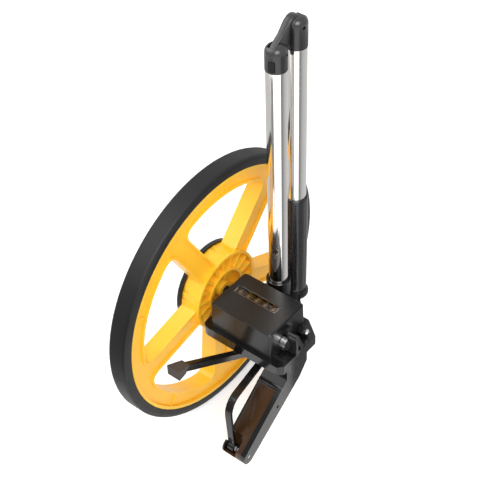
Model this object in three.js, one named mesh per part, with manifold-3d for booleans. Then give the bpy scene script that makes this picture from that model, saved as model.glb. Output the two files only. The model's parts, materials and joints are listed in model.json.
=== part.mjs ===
// Folding measuring wheel: a spoked wheel on one axle beside a five-digit counter,
// a folding two-tube pole, a stand leg and a squeeze brake lever.
// Units are millimetres. The axle runs along X, the poles stand along Z and the user stands at +Y.
import * as THREE from 'three';
import { mergeVertices } from 'three/addons/utils/BufferGeometryUtils.js';
import Module from 'manifold-3d';

const wasm = await Module();
wasm.setup();

// Clearances shared by all pieces
const seatGap = 0.3;
const overrun = 1.0;
const weld = 1e-4;

// Wheel: one metre round, its near face at x = 0
const tyreRadius = 159.15;
const tyreWall = 11.15;
const tyreWidth = 23;
const tyreShoulder = 1.6;
const tyreOverhang = 0.3;
const tyreBeadDepth = 1.2;
const tyreBeadWidth = 6;
const rimRadius = tyreRadius - tyreWall;
const rimWidth = 22;
const rimBandWall = 3.6;
const webRecess = 3.6;
const webWall = 2.6;
const rimRingWidth = 20;
const windowRadius = rimRadius - rimRingWidth;
const windowBorderRecess = 1.2;
const windowWall = 2.4;
const windowCornerRadius = 9;
const windowRootRadius = 3.5;
const spokeCount = 5;
const spokeWidth = 24;
const spokeTurn = THREE.MathUtils.degToRad(48);
const spokeRibWall = 2;
const spokeRibRadiusShares = [0.52, 0.7];
const rimMarkWall = 2.4;
const rimMarkRise = 1.6;
const hubRadius = 47.6;
const hubWall = 3.2;
const hubProud = 2.6;
const hubBackRecess = 1;
const hubDepth = rimWidth - hubBackRecess;
const hubRingRadius = 27;
const hubRingWall = 2.4;
const hubRibCount = 18;
const hubRibWall = 2.2;
const hubRibRecess = 1.6;
const hubPocketFloor = 9;
const hubFloorWall = 2.4;
const bossRadius = 9.5;
const bossProud = 1;
const bossRibCount = 6;
const bossRibWall = 2.2;
const bossRibRecess = 7;
const bossFloor = 11;

// Hub cap on the far side and its screws
const capOverhang = 2.7;
const capRadius = hubRadius + capOverhang;
const capDepth = 5.8;
const capWall = 2.5;
const capEdge = 1.6;
const capScrewCount = 3;
const capScrewInset = 11.1;
const capScrewCircle = hubRadius - capScrewInset;
const capScrewRadius = 1.6;
const capScrewHeadRadius = 3.2;
const capScrewHead = 1.8;
const capScrewLength = 9;
const capBossRadius = 4.4;

// Axle, spacer, washer, nut and drive pin
const axleRadius = 4;
const axleBoreGap = 0.25;
const axleNearEnd = 92.6;
const axleThreadProud = 1.2;
const spacerRadius = 5.4;
const washerRadius = 8.5;
const washerWall = 1.2;
const nutCornerRadius = 7.6;
const nutHeight = 4.6;
const drivePinRadius = 1.3;
const drivePinLength = 17.6;
const drivePinX = -16;

// Counter housing, its window and lens
const housingX0 = 15;
const housingX1 = 96;
const housingY0 = -42;
const housingY1 = 18;
const housingTop = 22;
const housingWall = 2.2;
const housingDraft = 0.6;
const housingCorner = 3.2;
const housingEdge = 1.2;
const windowX0 = 23;
const windowX1 = 79;
const windowY0 = -12.4;
const windowY1 = -0.9;
const lensWall = 1.1;
const lensLip = 1.8;
const lensRecess = 0.6;
const stopLugLength = 4.6;
const stopLugWidth = 8;
const stopLugHeight = 6;
const stopLugY = -15;
const stopLugZ = 11;
const screwPostRadius = 3.6;
const screwPostInset = 5.4;

// Base frame: flange under the counter, pole seat and front post
const flangeTop = -13;
const flangeHeight = 12;
const flangeX0 = 5.5;
const flangeX1 = 113;
const flangeY0 = -46.5;
const flangeY1 = 29;
const flangeChamferFront = 5.5;
const flangeChamferBackX = 20;
const flangeChamferBackY = 15;
const flangeCornerRound = 8;
const flangeWall = 3;
const flangeSkirt = 2.6;
const seatLobeX0 = 21;
const seatLobeX1 = 71;
const seatLobeBack = 53.5;
const seatLobeChamfer = 9;
const postX0 = 83;
const postX1 = 113;
const postEndY = -102;
const postEndZ = -101;
const postEndRadius = 9;
const postTopY = -43.3;
const postTopZ = -44;
const postNotchY = -36;
const postNotchZ = -38.5;
const postHeelY = -1;
const postHeelZ = -37;
const postBendY = -13.6;
const postBendZ = -52;
const postFaceRecess = 1.7;
const postFaceBorder = 2;
const postFaceEdge = 5.5;
const ledgeCount = 2;
const ledgePitch = 3.8;
const ledgeWall = 1.6;
const ledgeProud = 0.9;
const postHoleRadius = 1.8;
const postHoleDepth = 8;
const postHoleY = -52.5;
const postHoleZ = -66;
const neckRibWall = 1.6;
const neckRibProud = 0.4;
const neckRibCount = 3;

// Screws that hold the counter and the pole socket to the base
const baseScrewRadius = 1.7;
const baseScrewHeadRadius = 3.4;
const baseScrewHead = 2.2;
const baseScrewLength = 14;

// Axle bushes
const bushRadius = 6.5;
const bushFlangeRadius = 8.6;
const bushFlangeWall = 1.4;
const innerBossRadius = 9.2;
const innerBossLength = 7;

// Counter works
const drumAxisY = -6.5;
const drumAxisZ = 11;
const drumRadius = 7.9;
const drumCount = 5;
const drumPitch = 11.1;
const drumWidth = 10.4;
const counterShaftRadius = 1.5;
const drumBoreGap = 0.25;
const bracketWall = 1;
const bracketGap = 0.35;
const bracketFront = -17.5;
const bracketBack = 8.6;
const bracketTopZ = 16;
const bracketRound = 3;
const gearTeeth = 16;
const gearPressure = THREE.MathUtils.degToRad(20);
const gearWidth = 3.6;
const gearBacklash = 0.24;
const gearTipShare = 0.8;
const gearRootShare = 1.1;
const pinionAxisY = 5.6;
const pinionAxisZ = 12;
const pinionRadius = 3.6;
const pinionRootRadius = 2.5;
const pinionTeeth = 6;
const pinionWidth = 3;
const pinionShaftRadius = 1;

// Reset lever and thumb knob on the counter's end wall
const resetY = -19;
const resetZ = -3.4;
const resetShaftRadius = 2.6;
const resetDiscRadius = 9.2;
const resetDiscWall = 6.8;
const leverWall = 12;
const leverBoreDepth = 6;
const leverPinGap = 0.35;
const leverApexY = -20.6;
const leverApexZ = 14.6;
const leverApexRadius = 2.4;
const leverHeelY = -19.5;
const leverHeelZ = -9;
const leverHeelRadius = 3.5;
const leverBellyY = -15.6;
const leverBellyZ = -5.2;
const leverBellyRadius = 5;
const leverEyeY = -19.4;
const leverEyeReach = 5.4;
const leverEyeTop = 5;
const leverEyeBottom = -6.4;
const leverEyeDepth = 4;
const knobY = 8;
const knobZ = -6.4;
const knobRadius = 5;
const knobRibDepth = 0.7;
const knobRibs = 12;
const knobLength = 8;
const knobCapRadius = 3.3;
const knobCapLength = 4;
const knobStudRadius = 1.6;

// Pole
const poleX = 45.3;
const lowerPoleY = 38;
const upperPoleY = 69;
const tubeRadius = 10.65;
const tubeWall = 1.2;
const lowerTubeTop = 286;
const upperTubeTop = 295.4;
const upperTubeBottom = -19;
const socketRadius = 13.5;
const socketTop = 16;
const socketFloor = 3;
const socketFlangeWall = 3.4;
const socketEarReach = 19;
const socketEarRadius = 4.8;

// Elbow
const knuckleRadius = 11.2;
const spigotLength = 20;
const domeDrop = 3;
const lowerPinZ = 304;
const upperPinZ = 319.2;
const pinInset = 2.6;
const linkWall = 7.6;
const linkRadius = 8.4;
const elbowPinRadius = 2;
const elbowPinSink = 2.9;
const buttonWidth = 6;
const buttonHeight = 11;
const buttonX = 48;
const buttonZ = 294.2;
const buttonProud = 0.3;
const buttonDepth = 4;
const buttonTravel = 2.2;

// Grip
const gripTop = 112.4;
const gripBottom = -21.5;
const gripRadius = 12.4;
const gripWaist = 11.6;
const gripWaistZ = 2;
const gripEdge = 1;
const pommelRadius = 14.2;
const pommelBottom = -34;
const pommelNeck = 12;
const pommelChamfer = 4;

// Stand leg
const standX = 52;
const standY = -20;
const standZ = -48;
const standRise = THREE.MathUtils.degToRad(33.4);
const standLength = 139;
const standWidth = 8;
const standHeight = 7;
const standPinRadius = 2;
const standEyeRadius = 6;
const lugWall = 3.2;
const lugReach = 6.5;
const footWidth = 19;
const footLength = 15;
const footHeight = 15.5;
const footTongue = 9;

// Brake lever: a flat strap from the post's end to a guide under the base
const strapWidth = 8;
const strapWall = 3;
const strapEyeRadius = 5;
const strapPinRadius = 2;
const strapFootX = 90;
const strapHeadX = 73.5;
const strapBendY = -97.5;
const strapBendZ = -41.5;
const strapBendRadius = 18;
const strapHeadY = -14;
const strapSlotGap = 1.2;
const slotReachShare = 0.2;
const leanStart = 3.6;
const springWire = 1;
const springTurns = 3;
const springRadius = 2.9;
const springPitchShare = 1.6;
const springRoom = 6.4;
const springSteps = 8;
const springSides = 5;
const guideWall = 2.6;
const strapGuideGap = 0.6;
const guideDrop = 27;
const guideLength = 16;

// Facets
const fullTurnFacets = 64;
const drumFacets = 20;
const tubeFacets = 28;
const pinFacets = 12;
const cornerFacets = 3;
const bendFacets = 6;

const halfTurn = Math.PI;
const fullTurn = 2 * Math.PI;

// Materials
const paint = (color, roughness, metalness) => new THREE.MeshStandardMaterial({ color, roughness, metalness });
const yellowPlastic = paint(0xf7b90c, 0.42, 0);
const blackPlastic = paint(0x1b1b1d, 0.45, 0);
const mattBlack = paint(0x232325, 0.62, 0);
const tyreRubber = paint(0x2b2b2d, 0.85, 0);
const gripRubber = paint(0x242428, 0.7, 0);
const polishedSteel = paint(0xd2d0cc, 0.14, 1);
const plainSteel = paint(0x9b9c9e, 0.35, 1);
const chrome = paint(0xe6e6e8, 0.08, 1);
const brass = paint(0xb9924a, 0.35, 1);
const clearPlastic = paint(0xd9dcdc, 0.08, 0);
const drumPlastic = paint(0x1a1a1a, 0.5, 0);
const gearPlastic = paint(0xe8e3d6, 0.5, 0);

const model = new THREE.Group();

// Axes order that turns a shape drawn in (y, z) and raised along its third axis into the x direction
const alongX = new THREE.Matrix4().makeBasis(
  new THREE.Vector3(0, 1, 0),
  new THREE.Vector3(0, 0, 1),
  new THREE.Vector3(1, 0, 0),
);
// Axes order that turns a lathe about the y axis into one about the x axis
const spinX = new THREE.Matrix4().makeBasis(
  new THREE.Vector3(0, 0, 1),
  new THREE.Vector3(1, 0, 0),
  new THREE.Vector3(0, 1, 0),
);
const spinZ = new THREE.Matrix4().makeRotationX(halfTurn / 2);

// Turns a closed three.js geometry into a solid with its faces pointing out
function solid(geometry) {
  const bare = geometry.index ? geometry.toNonIndexed() : geometry.clone();
  for (const name of Object.keys(bare.attributes)) {
    if (name !== 'position') bare.deleteAttribute(name);
  }
  const merged = mergeVertices(bare, weld);
  const vertices = new Float32Array(merged.attributes.position.array);
  const index = merged.index.array;
  const corner = (i) => new THREE.Vector3(vertices[3 * i], vertices[3 * i + 1], vertices[3 * i + 2]);
  const faces = [];
  let volume = 0;
  for (let i = 0; i < index.length; i += 3) {
    const [a, b, c] = [index[i], index[i + 1], index[i + 2]];
    if (a === b || b === c || a === c) continue;
    faces.push([a, b, c]);
    volume += corner(a).dot(corner(b).cross(corner(c)));
  }
  const turned = volume < 0 ? faces.map(([a, b, c]) => [a, c, b]) : faces;
  return new wasm.Manifold(new wasm.Mesh({
    numProp: 3,
    vertProperties: vertices,
    triVerts: new Uint32Array(turned.flat()),
  }));
}

const join = (first, ...others) => others.reduce((sum, piece) => sum.add(piece), first);
const cut = (first, ...tools) => tools.reduce((rest, tool) => rest.subtract(tool), first);
const hull = (...bodies) => wasm.Manifold.hull(bodies);

// Adds a named piece to the model
function piece(name, body, material) {
  const { vertProperties, triVerts } = body.getMesh();
  const geometry = new THREE.BufferGeometry();
  geometry.setAttribute('position', new THREE.BufferAttribute(new Float32Array(vertProperties), 3));
  geometry.setIndex(new THREE.BufferAttribute(new Uint32Array(triVerts), 1));
  geometry.computeVertexNormals();
  const mesh = new THREE.Mesh(geometry, material);
  mesh.name = name;
  model.add(mesh);
}

const polar = (radius, angle) => new THREE.Vector2(radius * Math.cos(angle), radius * Math.sin(angle));

// Points on an arc round a centre, both ends included
function arc(centre, radius, from, to, count) {
  return Array.from({ length: count + 1 }, (_, i) => polar(radius, from + (to - from) * i / count).add(centre));
}

// A box between two corners
function slab(x0, x1, y0, y1, z0, z1) {
  const box = new THREE.BoxGeometry(x1 - x0, y1 - y0, z1 - z0);
  return solid(box.translate((x0 + x1) / 2, (y0 + y1) / 2, (z0 + z1) / 2));
}

// An outline drawn in (y, z), from x0 to x1
function plateX(points, x0, x1) {
  const flat = new THREE.ExtrudeGeometry(new THREE.Shape(points), { depth: x1 - x0, bevelEnabled: false });
  return solid(flat.applyMatrix4(alongX).translate(x0, 0, 0));
}

// An outline drawn in (x, y), from z0 to z1
function plateZ(points, z0, z1) {
  const flat = new THREE.ExtrudeGeometry(new THREE.Shape(points), { depth: z1 - z0, bevelEnabled: false });
  return solid(flat.translate(0, 0, z0));
}

// A profile of (radius, x) points turned about the x axis through (y, z)
function turnedX(profile, y, z, facets) {
  const points = [...profile, profile[0]].map(([radius, x]) => new THREE.Vector2(radius, x));
  return solid(new THREE.LatheGeometry(points, facets).applyMatrix4(spinX).translate(0, y, z));
}

// A profile of (radius, z) points turned about the z axis through (x, y)
function turnedZ(profile, x, y, facets) {
  const points = [...profile, profile[0]].map(([radius, z]) => new THREE.Vector2(radius, z));
  return solid(new THREE.LatheGeometry(points, facets).applyMatrix4(spinZ).translate(x, y, 0));
}

const rodX = (radius, x0, x1, y, z, facets = pinFacets) =>
  turnedX([[0, x0], [radius, x0], [radius, x1], [0, x1]], y, z, facets);
const rodZ = (radius, z0, z1, x, y, facets = pinFacets) =>
  turnedZ([[0, z0], [radius, z0], [radius, z1], [0, z1]], x, y, facets);
const ringX = (inner, outer, x0, x1, y, z, facets) =>
  turnedX([[inner, x0], [outer, x0], [outer, x1], [inner, x1]], y, z, facets);
const ringZ = (inner, outer, z0, z1, x, y, facets) =>
  turnedZ([[inner, z0], [outer, z0], [outer, z1], [inner, z1]], x, y, facets);

// A skin through rings of equally many points, closed by a fan at each end
function loft(rings) {
  const points = rings.flat();
  const count = rings[0].length;
  const centre = (ring) => ring.reduce((sum, p) => sum.clone().add(p), new THREE.Vector3()).divideScalar(count);
  points.push(centre(rings[0]), centre(rings.at(-1)));
  const [firstHub, lastHub] = [points.length - 2, points.length - 1];
  const faces = [];
  for (let r = 0; r < rings.length - 1; r++) {
    for (let i = 0; i < count; i++) {
      const [a, b] = [r * count + i, r * count + (i + 1) % count];
      faces.push(a, b, b + count, a, b + count, a + count);
    }
  }
  const last = (rings.length - 1) * count;
  for (let i = 0; i < count; i++) {
    const next = (i + 1) % count;
    faces.push(firstHub, next, i, lastHub, last + i, last + next);
  }
  const geometry = new THREE.BufferGeometry();
  geometry.setAttribute('position', new THREE.Float32BufferAttribute(points.flatMap((p) => p.toArray()), 3));
  geometry.setIndex(faces);
  return solid(geometry);
}

// A rectangle with round corners at height z, as a ring for a loft
function roundedRing(x0, x1, y0, y1, radius, z) {
  const corners = [
    [x1 - radius, y1 - radius, 0],
    [x0 + radius, y1 - radius, 1],
    [x0 + radius, y0 + radius, 2],
    [x1 - radius, y0 + radius, 3],
  ];
  const flat = corners.flatMap(([x, y, quarter]) => arc(
    new THREE.Vector2(x, y),
    radius,
    quarter * halfTurn / 2,
    (quarter + 1) * halfTurn / 2,
    cornerFacets,
  ));
  return flat.map((p) => new THREE.Vector3(p.x, p.y, z));
}

const yz = (y, z) => new THREE.Vector2(y, z);

// A solid turned about the axle's line
const spunAboutAxle = (body, angle) => body.rotate([THREE.MathUtils.radToDeg(angle), 0, 0]);

// Wheel
const webFront = -webRecess;
const webBack = webFront - webWall;
const hubBack = -hubDepth;
const spokePitch = fullTurn / spokeCount;

// One spoke window between two spokes, grown outwards by a margin
function windowOutline(margin) {
  const half = spokeWidth / 2 - margin;
  const outer = windowRadius + margin;
  const inner = hubRadius - margin;
  const rimCorner = windowCornerRadius + margin;
  const rootCorner = windowRootRadius + margin;
  const rimAngle = Math.asin((half + rimCorner) / (outer - rimCorner));
  const rootAngle = Math.asin((half + rootCorner) / (inner + rootCorner));
  const rimCentre = polar(outer - rimCorner, rimAngle);
  const rootCentre = polar(inner + rootCorner, rootAngle);
  const side = [
    ...arc(rootCentre, rootCorner, rootAngle + halfTurn, fullTurn * 3 / 4, cornerFacets),
    ...arc(rimCentre, rimCorner, -halfTurn / 2, rimAngle, cornerFacets),
  ];
  const mirrored = side.map((p) => {
    const [angle, radius] = [spokePitch - p.angle(), p.length()];
    return polar(radius, angle);
  }).reverse();
  const crown = arc(new THREE.Vector2(), outer, rimAngle, spokePitch - rimAngle, bendFacets * 2).slice(1, -1);
  const root = arc(new THREE.Vector2(), inner, spokePitch - rootAngle, rootAngle, bendFacets).slice(1, -1);
  return [...side, ...crown, ...mirrored, ...root];
}

function wheelMoulding() {
  const bandInner = rimRadius - rimBandWall;
  const grooveRadius = rimRadius - tyreBeadDepth - seatGap;
  const grooveHalf = tyreBeadWidth / 2 + seatGap;
  const rimMiddle = -rimWidth / 2;
  const rim = turnedX([
    [bandInner, -rimWidth],
    [rimRadius, -rimWidth],
    [rimRadius, rimMiddle - grooveHalf],
    [grooveRadius, rimMiddle - grooveHalf],
    [grooveRadius, rimMiddle + grooveHalf],
    [rimRadius, rimMiddle + grooveHalf],
    [rimRadius, 0],
    [bandInner, 0],
    [bandInner, webFront],
    [hubRadius - hubWall, webFront],
    [hubRadius - hubWall, webBack],
    [bandInner, webBack],
  ], 0, 0, fullTurnFacets);
  const drum = ringX(hubRadius - hubWall, hubRadius, hubBack, hubProud, 0, 0, fullTurnFacets / 2);
  const ring = ringX(hubRingRadius - hubRingWall, hubRingRadius, hubBack, hubProud, 0, 0, fullTurnFacets / 2);
  const pocketBack = -hubPocketFloor - hubFloorWall;
  const floor = ringX(hubRingRadius - hubRingWall, hubRadius - hubWall / 2, pocketBack, -hubPocketFloor, 0, 0,
    fullTurnFacets / 2);
  const deepFloor = rodX(hubRingRadius - hubRingWall / 2, -bossFloor - hubFloorWall, -bossFloor, 0, 0,
    fullTurnFacets / 2);
  const boss = rodX(bossRadius, hubBack, bossProud, 0, 0, fullTurnFacets / 3);
  let body = join(rim, drum, ring, floor, deepFloor, boss);
  const outerWall = plateX(windowOutline(windowWall), -rimWidth + windowBorderRecess, -windowBorderRecess);
  const opening = plateX(windowOutline(0), -rimWidth - overrun, overrun);
  const spokeRibs = spokeRibRadiusShares.map((share) => {
    const radius = share * rimRadius;
    return slab(-rimWidth + windowBorderRecess, webBack + webWall / 2, radius - spokeRibWall / 2,
      radius + spokeRibWall / 2, -spokeWidth / 2 + windowWall / 2, spokeWidth / 2 - windowWall / 2);
  });
  const mark = slab(webFront - webWall / 2, webFront + rimMarkRise, windowRadius + windowWall / 2,
    bandInner + rimBandWall / 2, -rimMarkWall / 2, rimMarkWall / 2);
  const backRib = slab(-rimWidth + windowBorderRecess, webBack + webWall / 2, windowRadius + windowWall / 2,
    bandInner + rimBandWall / 2, -spokeRibWall / 2, spokeRibWall / 2);
  const openings = [];
  for (let i = 0; i < spokeCount; i++) {
    const turn = spokeTurn + i * spokePitch;
    body = join(body, spunAboutAxle(outerWall, turn));
    openings.push(spunAboutAxle(opening, turn));
    for (const rib of spokeRibs) body = join(body, spunAboutAxle(rib, turn));
    body = join(body, spunAboutAxle(mark, turn + spokePitch / 2), spunAboutAxle(backRib, turn + spokePitch / 2));
  }
  body = cut(body, ...openings);
  const hubRib = slab(-hubPocketFloor - hubFloorWall / 2, hubProud - hubRibRecess, hubRingRadius - hubRingWall / 2,
    hubRadius - hubWall / 2, -hubRibWall / 2, hubRibWall / 2);
  for (let i = 0; i < hubRibCount; i++) {
    body = join(body, spunAboutAxle(hubRib, (i + 0.5) * fullTurn / hubRibCount));
  }
  const bossRib = slab(-bossFloor - hubFloorWall / 2, -bossRibRecess, bossRadius / 2, hubRingRadius - hubRingWall / 2,
    -bossRibWall / 2, bossRibWall / 2);
  for (let i = 0; i < bossRibCount; i++) {
    body = join(body, spunAboutAxle(bossRib, (i + 0.5) * fullTurn / bossRibCount));
  }
  for (let i = 0; i < capScrewCount; i++) {
    const angle = i * fullTurn / capScrewCount;
    const [y, z] = polar(capScrewCircle, angle).toArray();
    body = join(body, rodX(capBossRadius, hubBack, -hubPocketFloor - hubFloorWall / 2, y, z));
    body = cut(body, rodX(capScrewRadius + seatGap, hubBack - overrun, hubBack + capScrewLength, y, z));
  }
  const bore = rodX(axleRadius + axleBoreGap, hubBack - overrun, bossProud + overrun, 0, 0);
  const pinHole = solid(new THREE.CylinderGeometry(drivePinRadius + seatGap, drivePinRadius + seatGap,
    2 * bossRadius + overrun, pinFacets).translate(drivePinX, 0, 0));
  return cut(body, bore, pinHole);
}

function tyre() {
  const inner = rimRadius + seatGap;
  const near = tyreOverhang;
  const far = tyreOverhang - tyreWidth;
  const middle = -rimWidth / 2;
  const bead = rimRadius - tyreBeadDepth;
  return turnedX([
    [inner, far],
    [tyreRadius - tyreShoulder, far],
    [tyreRadius, far + 2 * tyreShoulder],
    [tyreRadius, near - 2 * tyreShoulder],
    [tyreRadius - tyreShoulder, near],
    [inner, near],
    [inner, middle + tyreBeadWidth / 2],
    [bead, middle + tyreBeadWidth / 2],
    [bead, middle - tyreBeadWidth / 2],
    [inner, middle - tyreBeadWidth / 2],
  ], 0, 0, fullTurnFacets);
}

// Hub cap: a dished disc that closes the hub's far side
const capNear = hubBack - seatGap;
const capFar = capNear - capDepth;

function hubCap() {
  const shell = turnedX([
    [axleRadius + axleBoreGap, capFar],
    [capRadius - capEdge, capFar],
    [capRadius, capFar + capEdge],
    [capRadius, capNear],
    [hubRadius - hubWall, capNear],
    [hubRadius - hubWall, capFar + capWall],
    [bossRadius, capFar + capWall],
    [bossRadius, capNear],
    [axleRadius + axleBoreGap, capNear],
  ], 0, 0, fullTurnFacets / 2);
  const holes = [];
  const seats = [];
  for (let i = 0; i < capScrewCount; i++) {
    const [y, z] = polar(capScrewCircle, i * fullTurn / capScrewCount).toArray();
    seats.push(rodX(capBossRadius, capFar + capWall / 2, capNear, y, z));
    holes.push(rodX(capScrewRadius + seatGap, capFar - overrun, capNear + overrun, y, z));
  }
  return cut(join(shell, ...seats), ...holes);
}

// A screw along +X whose head rests at headX
function screwX(y, z, headX, radius, headRadius, head, length) {
  return turnedX([
    [0, headX - head],
    [headRadius, headX - head],
    [headRadius, headX],
    [radius, headX],
    [radius, headX + length],
    [0, headX + length],
  ], y, z, pinFacets);
}

function wheelGroup() {
  piece('wheel_moulding', wheelMoulding(), yellowPlastic);
  piece('tyre', tyre(), tyreRubber);
  piece('hub_cap', hubCap(), blackPlastic);
  for (let i = 0; i < capScrewCount; i++) {
    const [y, z] = polar(capScrewCircle, i * fullTurn / capScrewCount).toArray();
    const screw = screwX(y, z, capFar - seatGap, capScrewRadius, capScrewHeadRadius, capScrewHead, capScrewLength);
    piece(`hub_cap_screw_${i + 1}`, screw, plainSteel);
  }
  const washerFar = capFar - seatGap - washerWall;
  const nutFar = washerFar - seatGap - nutHeight;
  const axleFar = nutFar - axleThreadProud;
  const pinHole = solid(new THREE.CylinderGeometry(drivePinRadius + seatGap, drivePinRadius + seatGap,
    3 * axleRadius, pinFacets).translate(drivePinX, 0, 0));
  piece('axle', cut(rodX(axleRadius, axleFar, axleNearEnd, 0, 0), pinHole), plainSteel);
  const hexagon = arc(new THREE.Vector2(), nutCornerRadius, 0, fullTurn, 6).slice(0, -1);
  const nutBore = rodX(axleRadius + axleBoreGap, nutFar - overrun, washerFar, 0, 0);
  piece('axle_nut', cut(plateX(hexagon, nutFar, washerFar - seatGap), nutBore), plainSteel);
  piece('axle_washer', ringX(axleRadius + axleBoreGap, washerRadius, washerFar, washerFar + washerWall, 0, 0,
    pinFacets), plainSteel);
  const spacerEnd = housingX0 - seatGap - bushFlangeWall - seatGap;
  piece('axle_spacer', ringX(axleRadius + axleBoreGap, spacerRadius, bossProud + seatGap, spacerEnd, 0, 0,
    pinFacets), blackPlastic);
  piece('drive_pin', solid(new THREE.CylinderGeometry(drivePinRadius, drivePinRadius, drivePinLength, pinFacets)
    .translate(drivePinX, 0, 0)), plainSteel);
}

// Counter works
const gearX0 = housingX0 + housingWall + housingDraft + seatGap;
const gearX1 = gearX0 + gearWidth;
const bracketX0 = gearX1 + bracketGap;
const drumX0 = bracketX0 + bracketWall + bracketGap;
const bracketX1 = drumX0 + drumCount * drumPitch - (drumPitch - drumWidth) + bracketGap;
const shaftReach = Math.hypot(drumAxisY, drumAxisZ);
const shaftAngle = Math.atan2(drumAxisZ, drumAxisY);

// An involute spur gear outline about its own centre, with a tooth at angle phase
function gearOutline(teeth, pitchRadius, phase) {
  const toothModule = 2 * pitchRadius / teeth;
  const baseRadius = pitchRadius * Math.cos(gearPressure);
  const involute = (angle) => Math.tan(angle) - angle;
  const tip = pitchRadius + gearTipShare * toothModule;
  const root = pitchRadius - gearRootShare * toothModule;
  const halfPitchTooth = fullTurn / teeth / 4 - gearBacklash / 2 / pitchRadius;
  const halfAngle = (radius) => {
    const pressure = Math.acos(Math.min(1, baseRadius / radius));
    return halfPitchTooth + involute(gearPressure) - involute(pressure);
  };
  const flank = [root, pitchRadius, tip];
  const points = [];
  for (let i = 0; i < teeth; i++) {
    const middle = phase + i * fullTurn / teeth;
    for (const radius of flank) points.push(polar(radius, middle - halfAngle(radius)));
    for (const radius of [...flank].reverse()) points.push(polar(radius, middle + halfAngle(radius)));
  }
  return points;
}

function starOutline(teeth, root, tip, phase) {
  const points = [];
  for (let i = 0; i < teeth; i++) {
    const middle = phase + i * fullTurn / teeth;
    const step = fullTurn / teeth / 8;
    points.push(polar(root, middle - 3 * step), polar(tip, middle - step), polar(tip, middle + step),
      polar(root, middle + 3 * step));
  }
  return points;
}

const shifted = (points, y, z) => points.map((p) => new THREE.Vector2(p.x + y, p.y + z));

function counterGroup() {
  const gearRadius = shaftReach / 2;
  const axleGear = plateX(gearOutline(gearTeeth, gearRadius, shaftAngle), gearX0, gearX1);
  const axleHole = rodX(axleRadius + axleBoreGap, gearX0 - overrun, gearX1 + overrun, 0, 0);
  piece('drive_gear', cut(axleGear, axleHole), gearPlastic);
  const gapPhase = shaftAngle + halfTurn + halfTurn / gearTeeth;
  const shaftGear = plateX(shifted(gearOutline(gearTeeth, gearRadius, gapPhase), drumAxisY, drumAxisZ), gearX0,
    gearX1);
  const shaftHole = rodX(counterShaftRadius + drumBoreGap, gearX0 - overrun, gearX1 + overrun, drumAxisY, drumAxisZ);
  piece('counter_gear', cut(shaftGear, shaftHole), gearPlastic);
  const shaftEnd = bracketX1 + bracketWall + bracketGap;
  piece('counter_shaft', rodX(counterShaftRadius, gearX0, shaftEnd, drumAxisY, drumAxisZ), plainSteel);
  for (let i = 0; i < drumCount; i++) {
    const x0 = drumX0 + i * drumPitch;
    const x1 = x0 + drumWidth;
    const drum = turnedX([
      [counterShaftRadius + drumBoreGap, x0],
      [drumRadius, x0],
      [drumRadius, x1],
      [counterShaftRadius + drumBoreGap, x1],
    ], drumAxisY, drumAxisZ, drumFacets);
    piece(`digit_drum_${i + 1}`, drum, drumPlastic);
  }
  for (let i = 0; i < drumCount - 1; i++) {
    const middle = drumX0 + (i + 1) * drumPitch - (drumPitch - drumWidth) / 2;
    const star = starOutline(pinionTeeth, pinionRootRadius, pinionRadius, 0);
    const bore = rodX(pinionShaftRadius + drumBoreGap, middle - pinionWidth, middle + pinionWidth, pinionAxisY,
      pinionAxisZ);
    const body = plateX(shifted(star, pinionAxisY, pinionAxisZ), middle - pinionWidth / 2, middle + pinionWidth / 2);
    piece(`carry_pinion_${i + 1}`, cut(body, bore), brass);
  }
  piece('pinion_shaft', rodX(pinionShaftRadius, bracketX0 - bracketGap / 2, shaftEnd, pinionAxisY, pinionAxisZ),
    plainSteel);
  piece('counter_bracket', counterBracket(), plainSteel);
}

// A steel U bracket on the base that carries the counter's shafts
function counterBracket() {
  const floorZ = flangeTop + seatGap;
  const cheek = [
    yz(bracketFront, floorZ),
    yz(bracketBack, floorZ),
    ...arc(yz(bracketBack - bracketRound, bracketTopZ - bracketRound), bracketRound, 0, halfTurn / 2, cornerFacets),
    ...arc(yz(bracketFront + bracketRound, bracketTopZ - bracketRound), bracketRound, halfTurn / 2, halfTurn,
      cornerFacets),
  ];
  const farPlate = bracketX1 + bracketWall;
  const body = join(
    plateX(cheek, bracketX0, bracketX0 + bracketWall),
    plateX(cheek, bracketX1, farPlate),
    slab(bracketX0, farPlate, bracketFront, bracketBack, floorZ, floorZ + bracketWall),
  );
  const through = (radius, y, z) => rodX(radius, bracketX0 - overrun, farPlate + overrun, y, z);
  return cut(
    body,
    through(counterShaftRadius + drumBoreGap, drumAxisY, drumAxisZ),
    through(pinionShaftRadius + drumBoreGap, pinionAxisY, pinionAxisZ),
    through(axleRadius + 2 * axleBoreGap, 0, 0),
  );
}

// Counter housing
const housingBottom = flangeTop + seatGap;
const screwPosts = [
  [housingX0 + screwPostInset, housingY0 + screwPostInset],
  [postX0 - screwPostInset, housingY0 + screwPostInset],
  [housingX0 + screwPostInset, housingY1 - screwPostInset],
  [housingX1 - screwPostInset, housingY1 - screwPostInset],
];

function housingLoft(inset, z0, z1, edge) {
  const ring = (z, shrink) => {
    const draft = housingDraft * (z - housingBottom) / (housingTop - housingBottom);
    const trim = inset + draft + shrink;
    return roundedRing(housingX0 + trim, housingX1 - trim, housingY0 + trim, housingY1 - trim,
      housingCorner - inset / 2, z);
  };
  return loft([ring(z0, 0), ring(z1 - edge, 0), ring(z1, edge)]);
}

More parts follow.
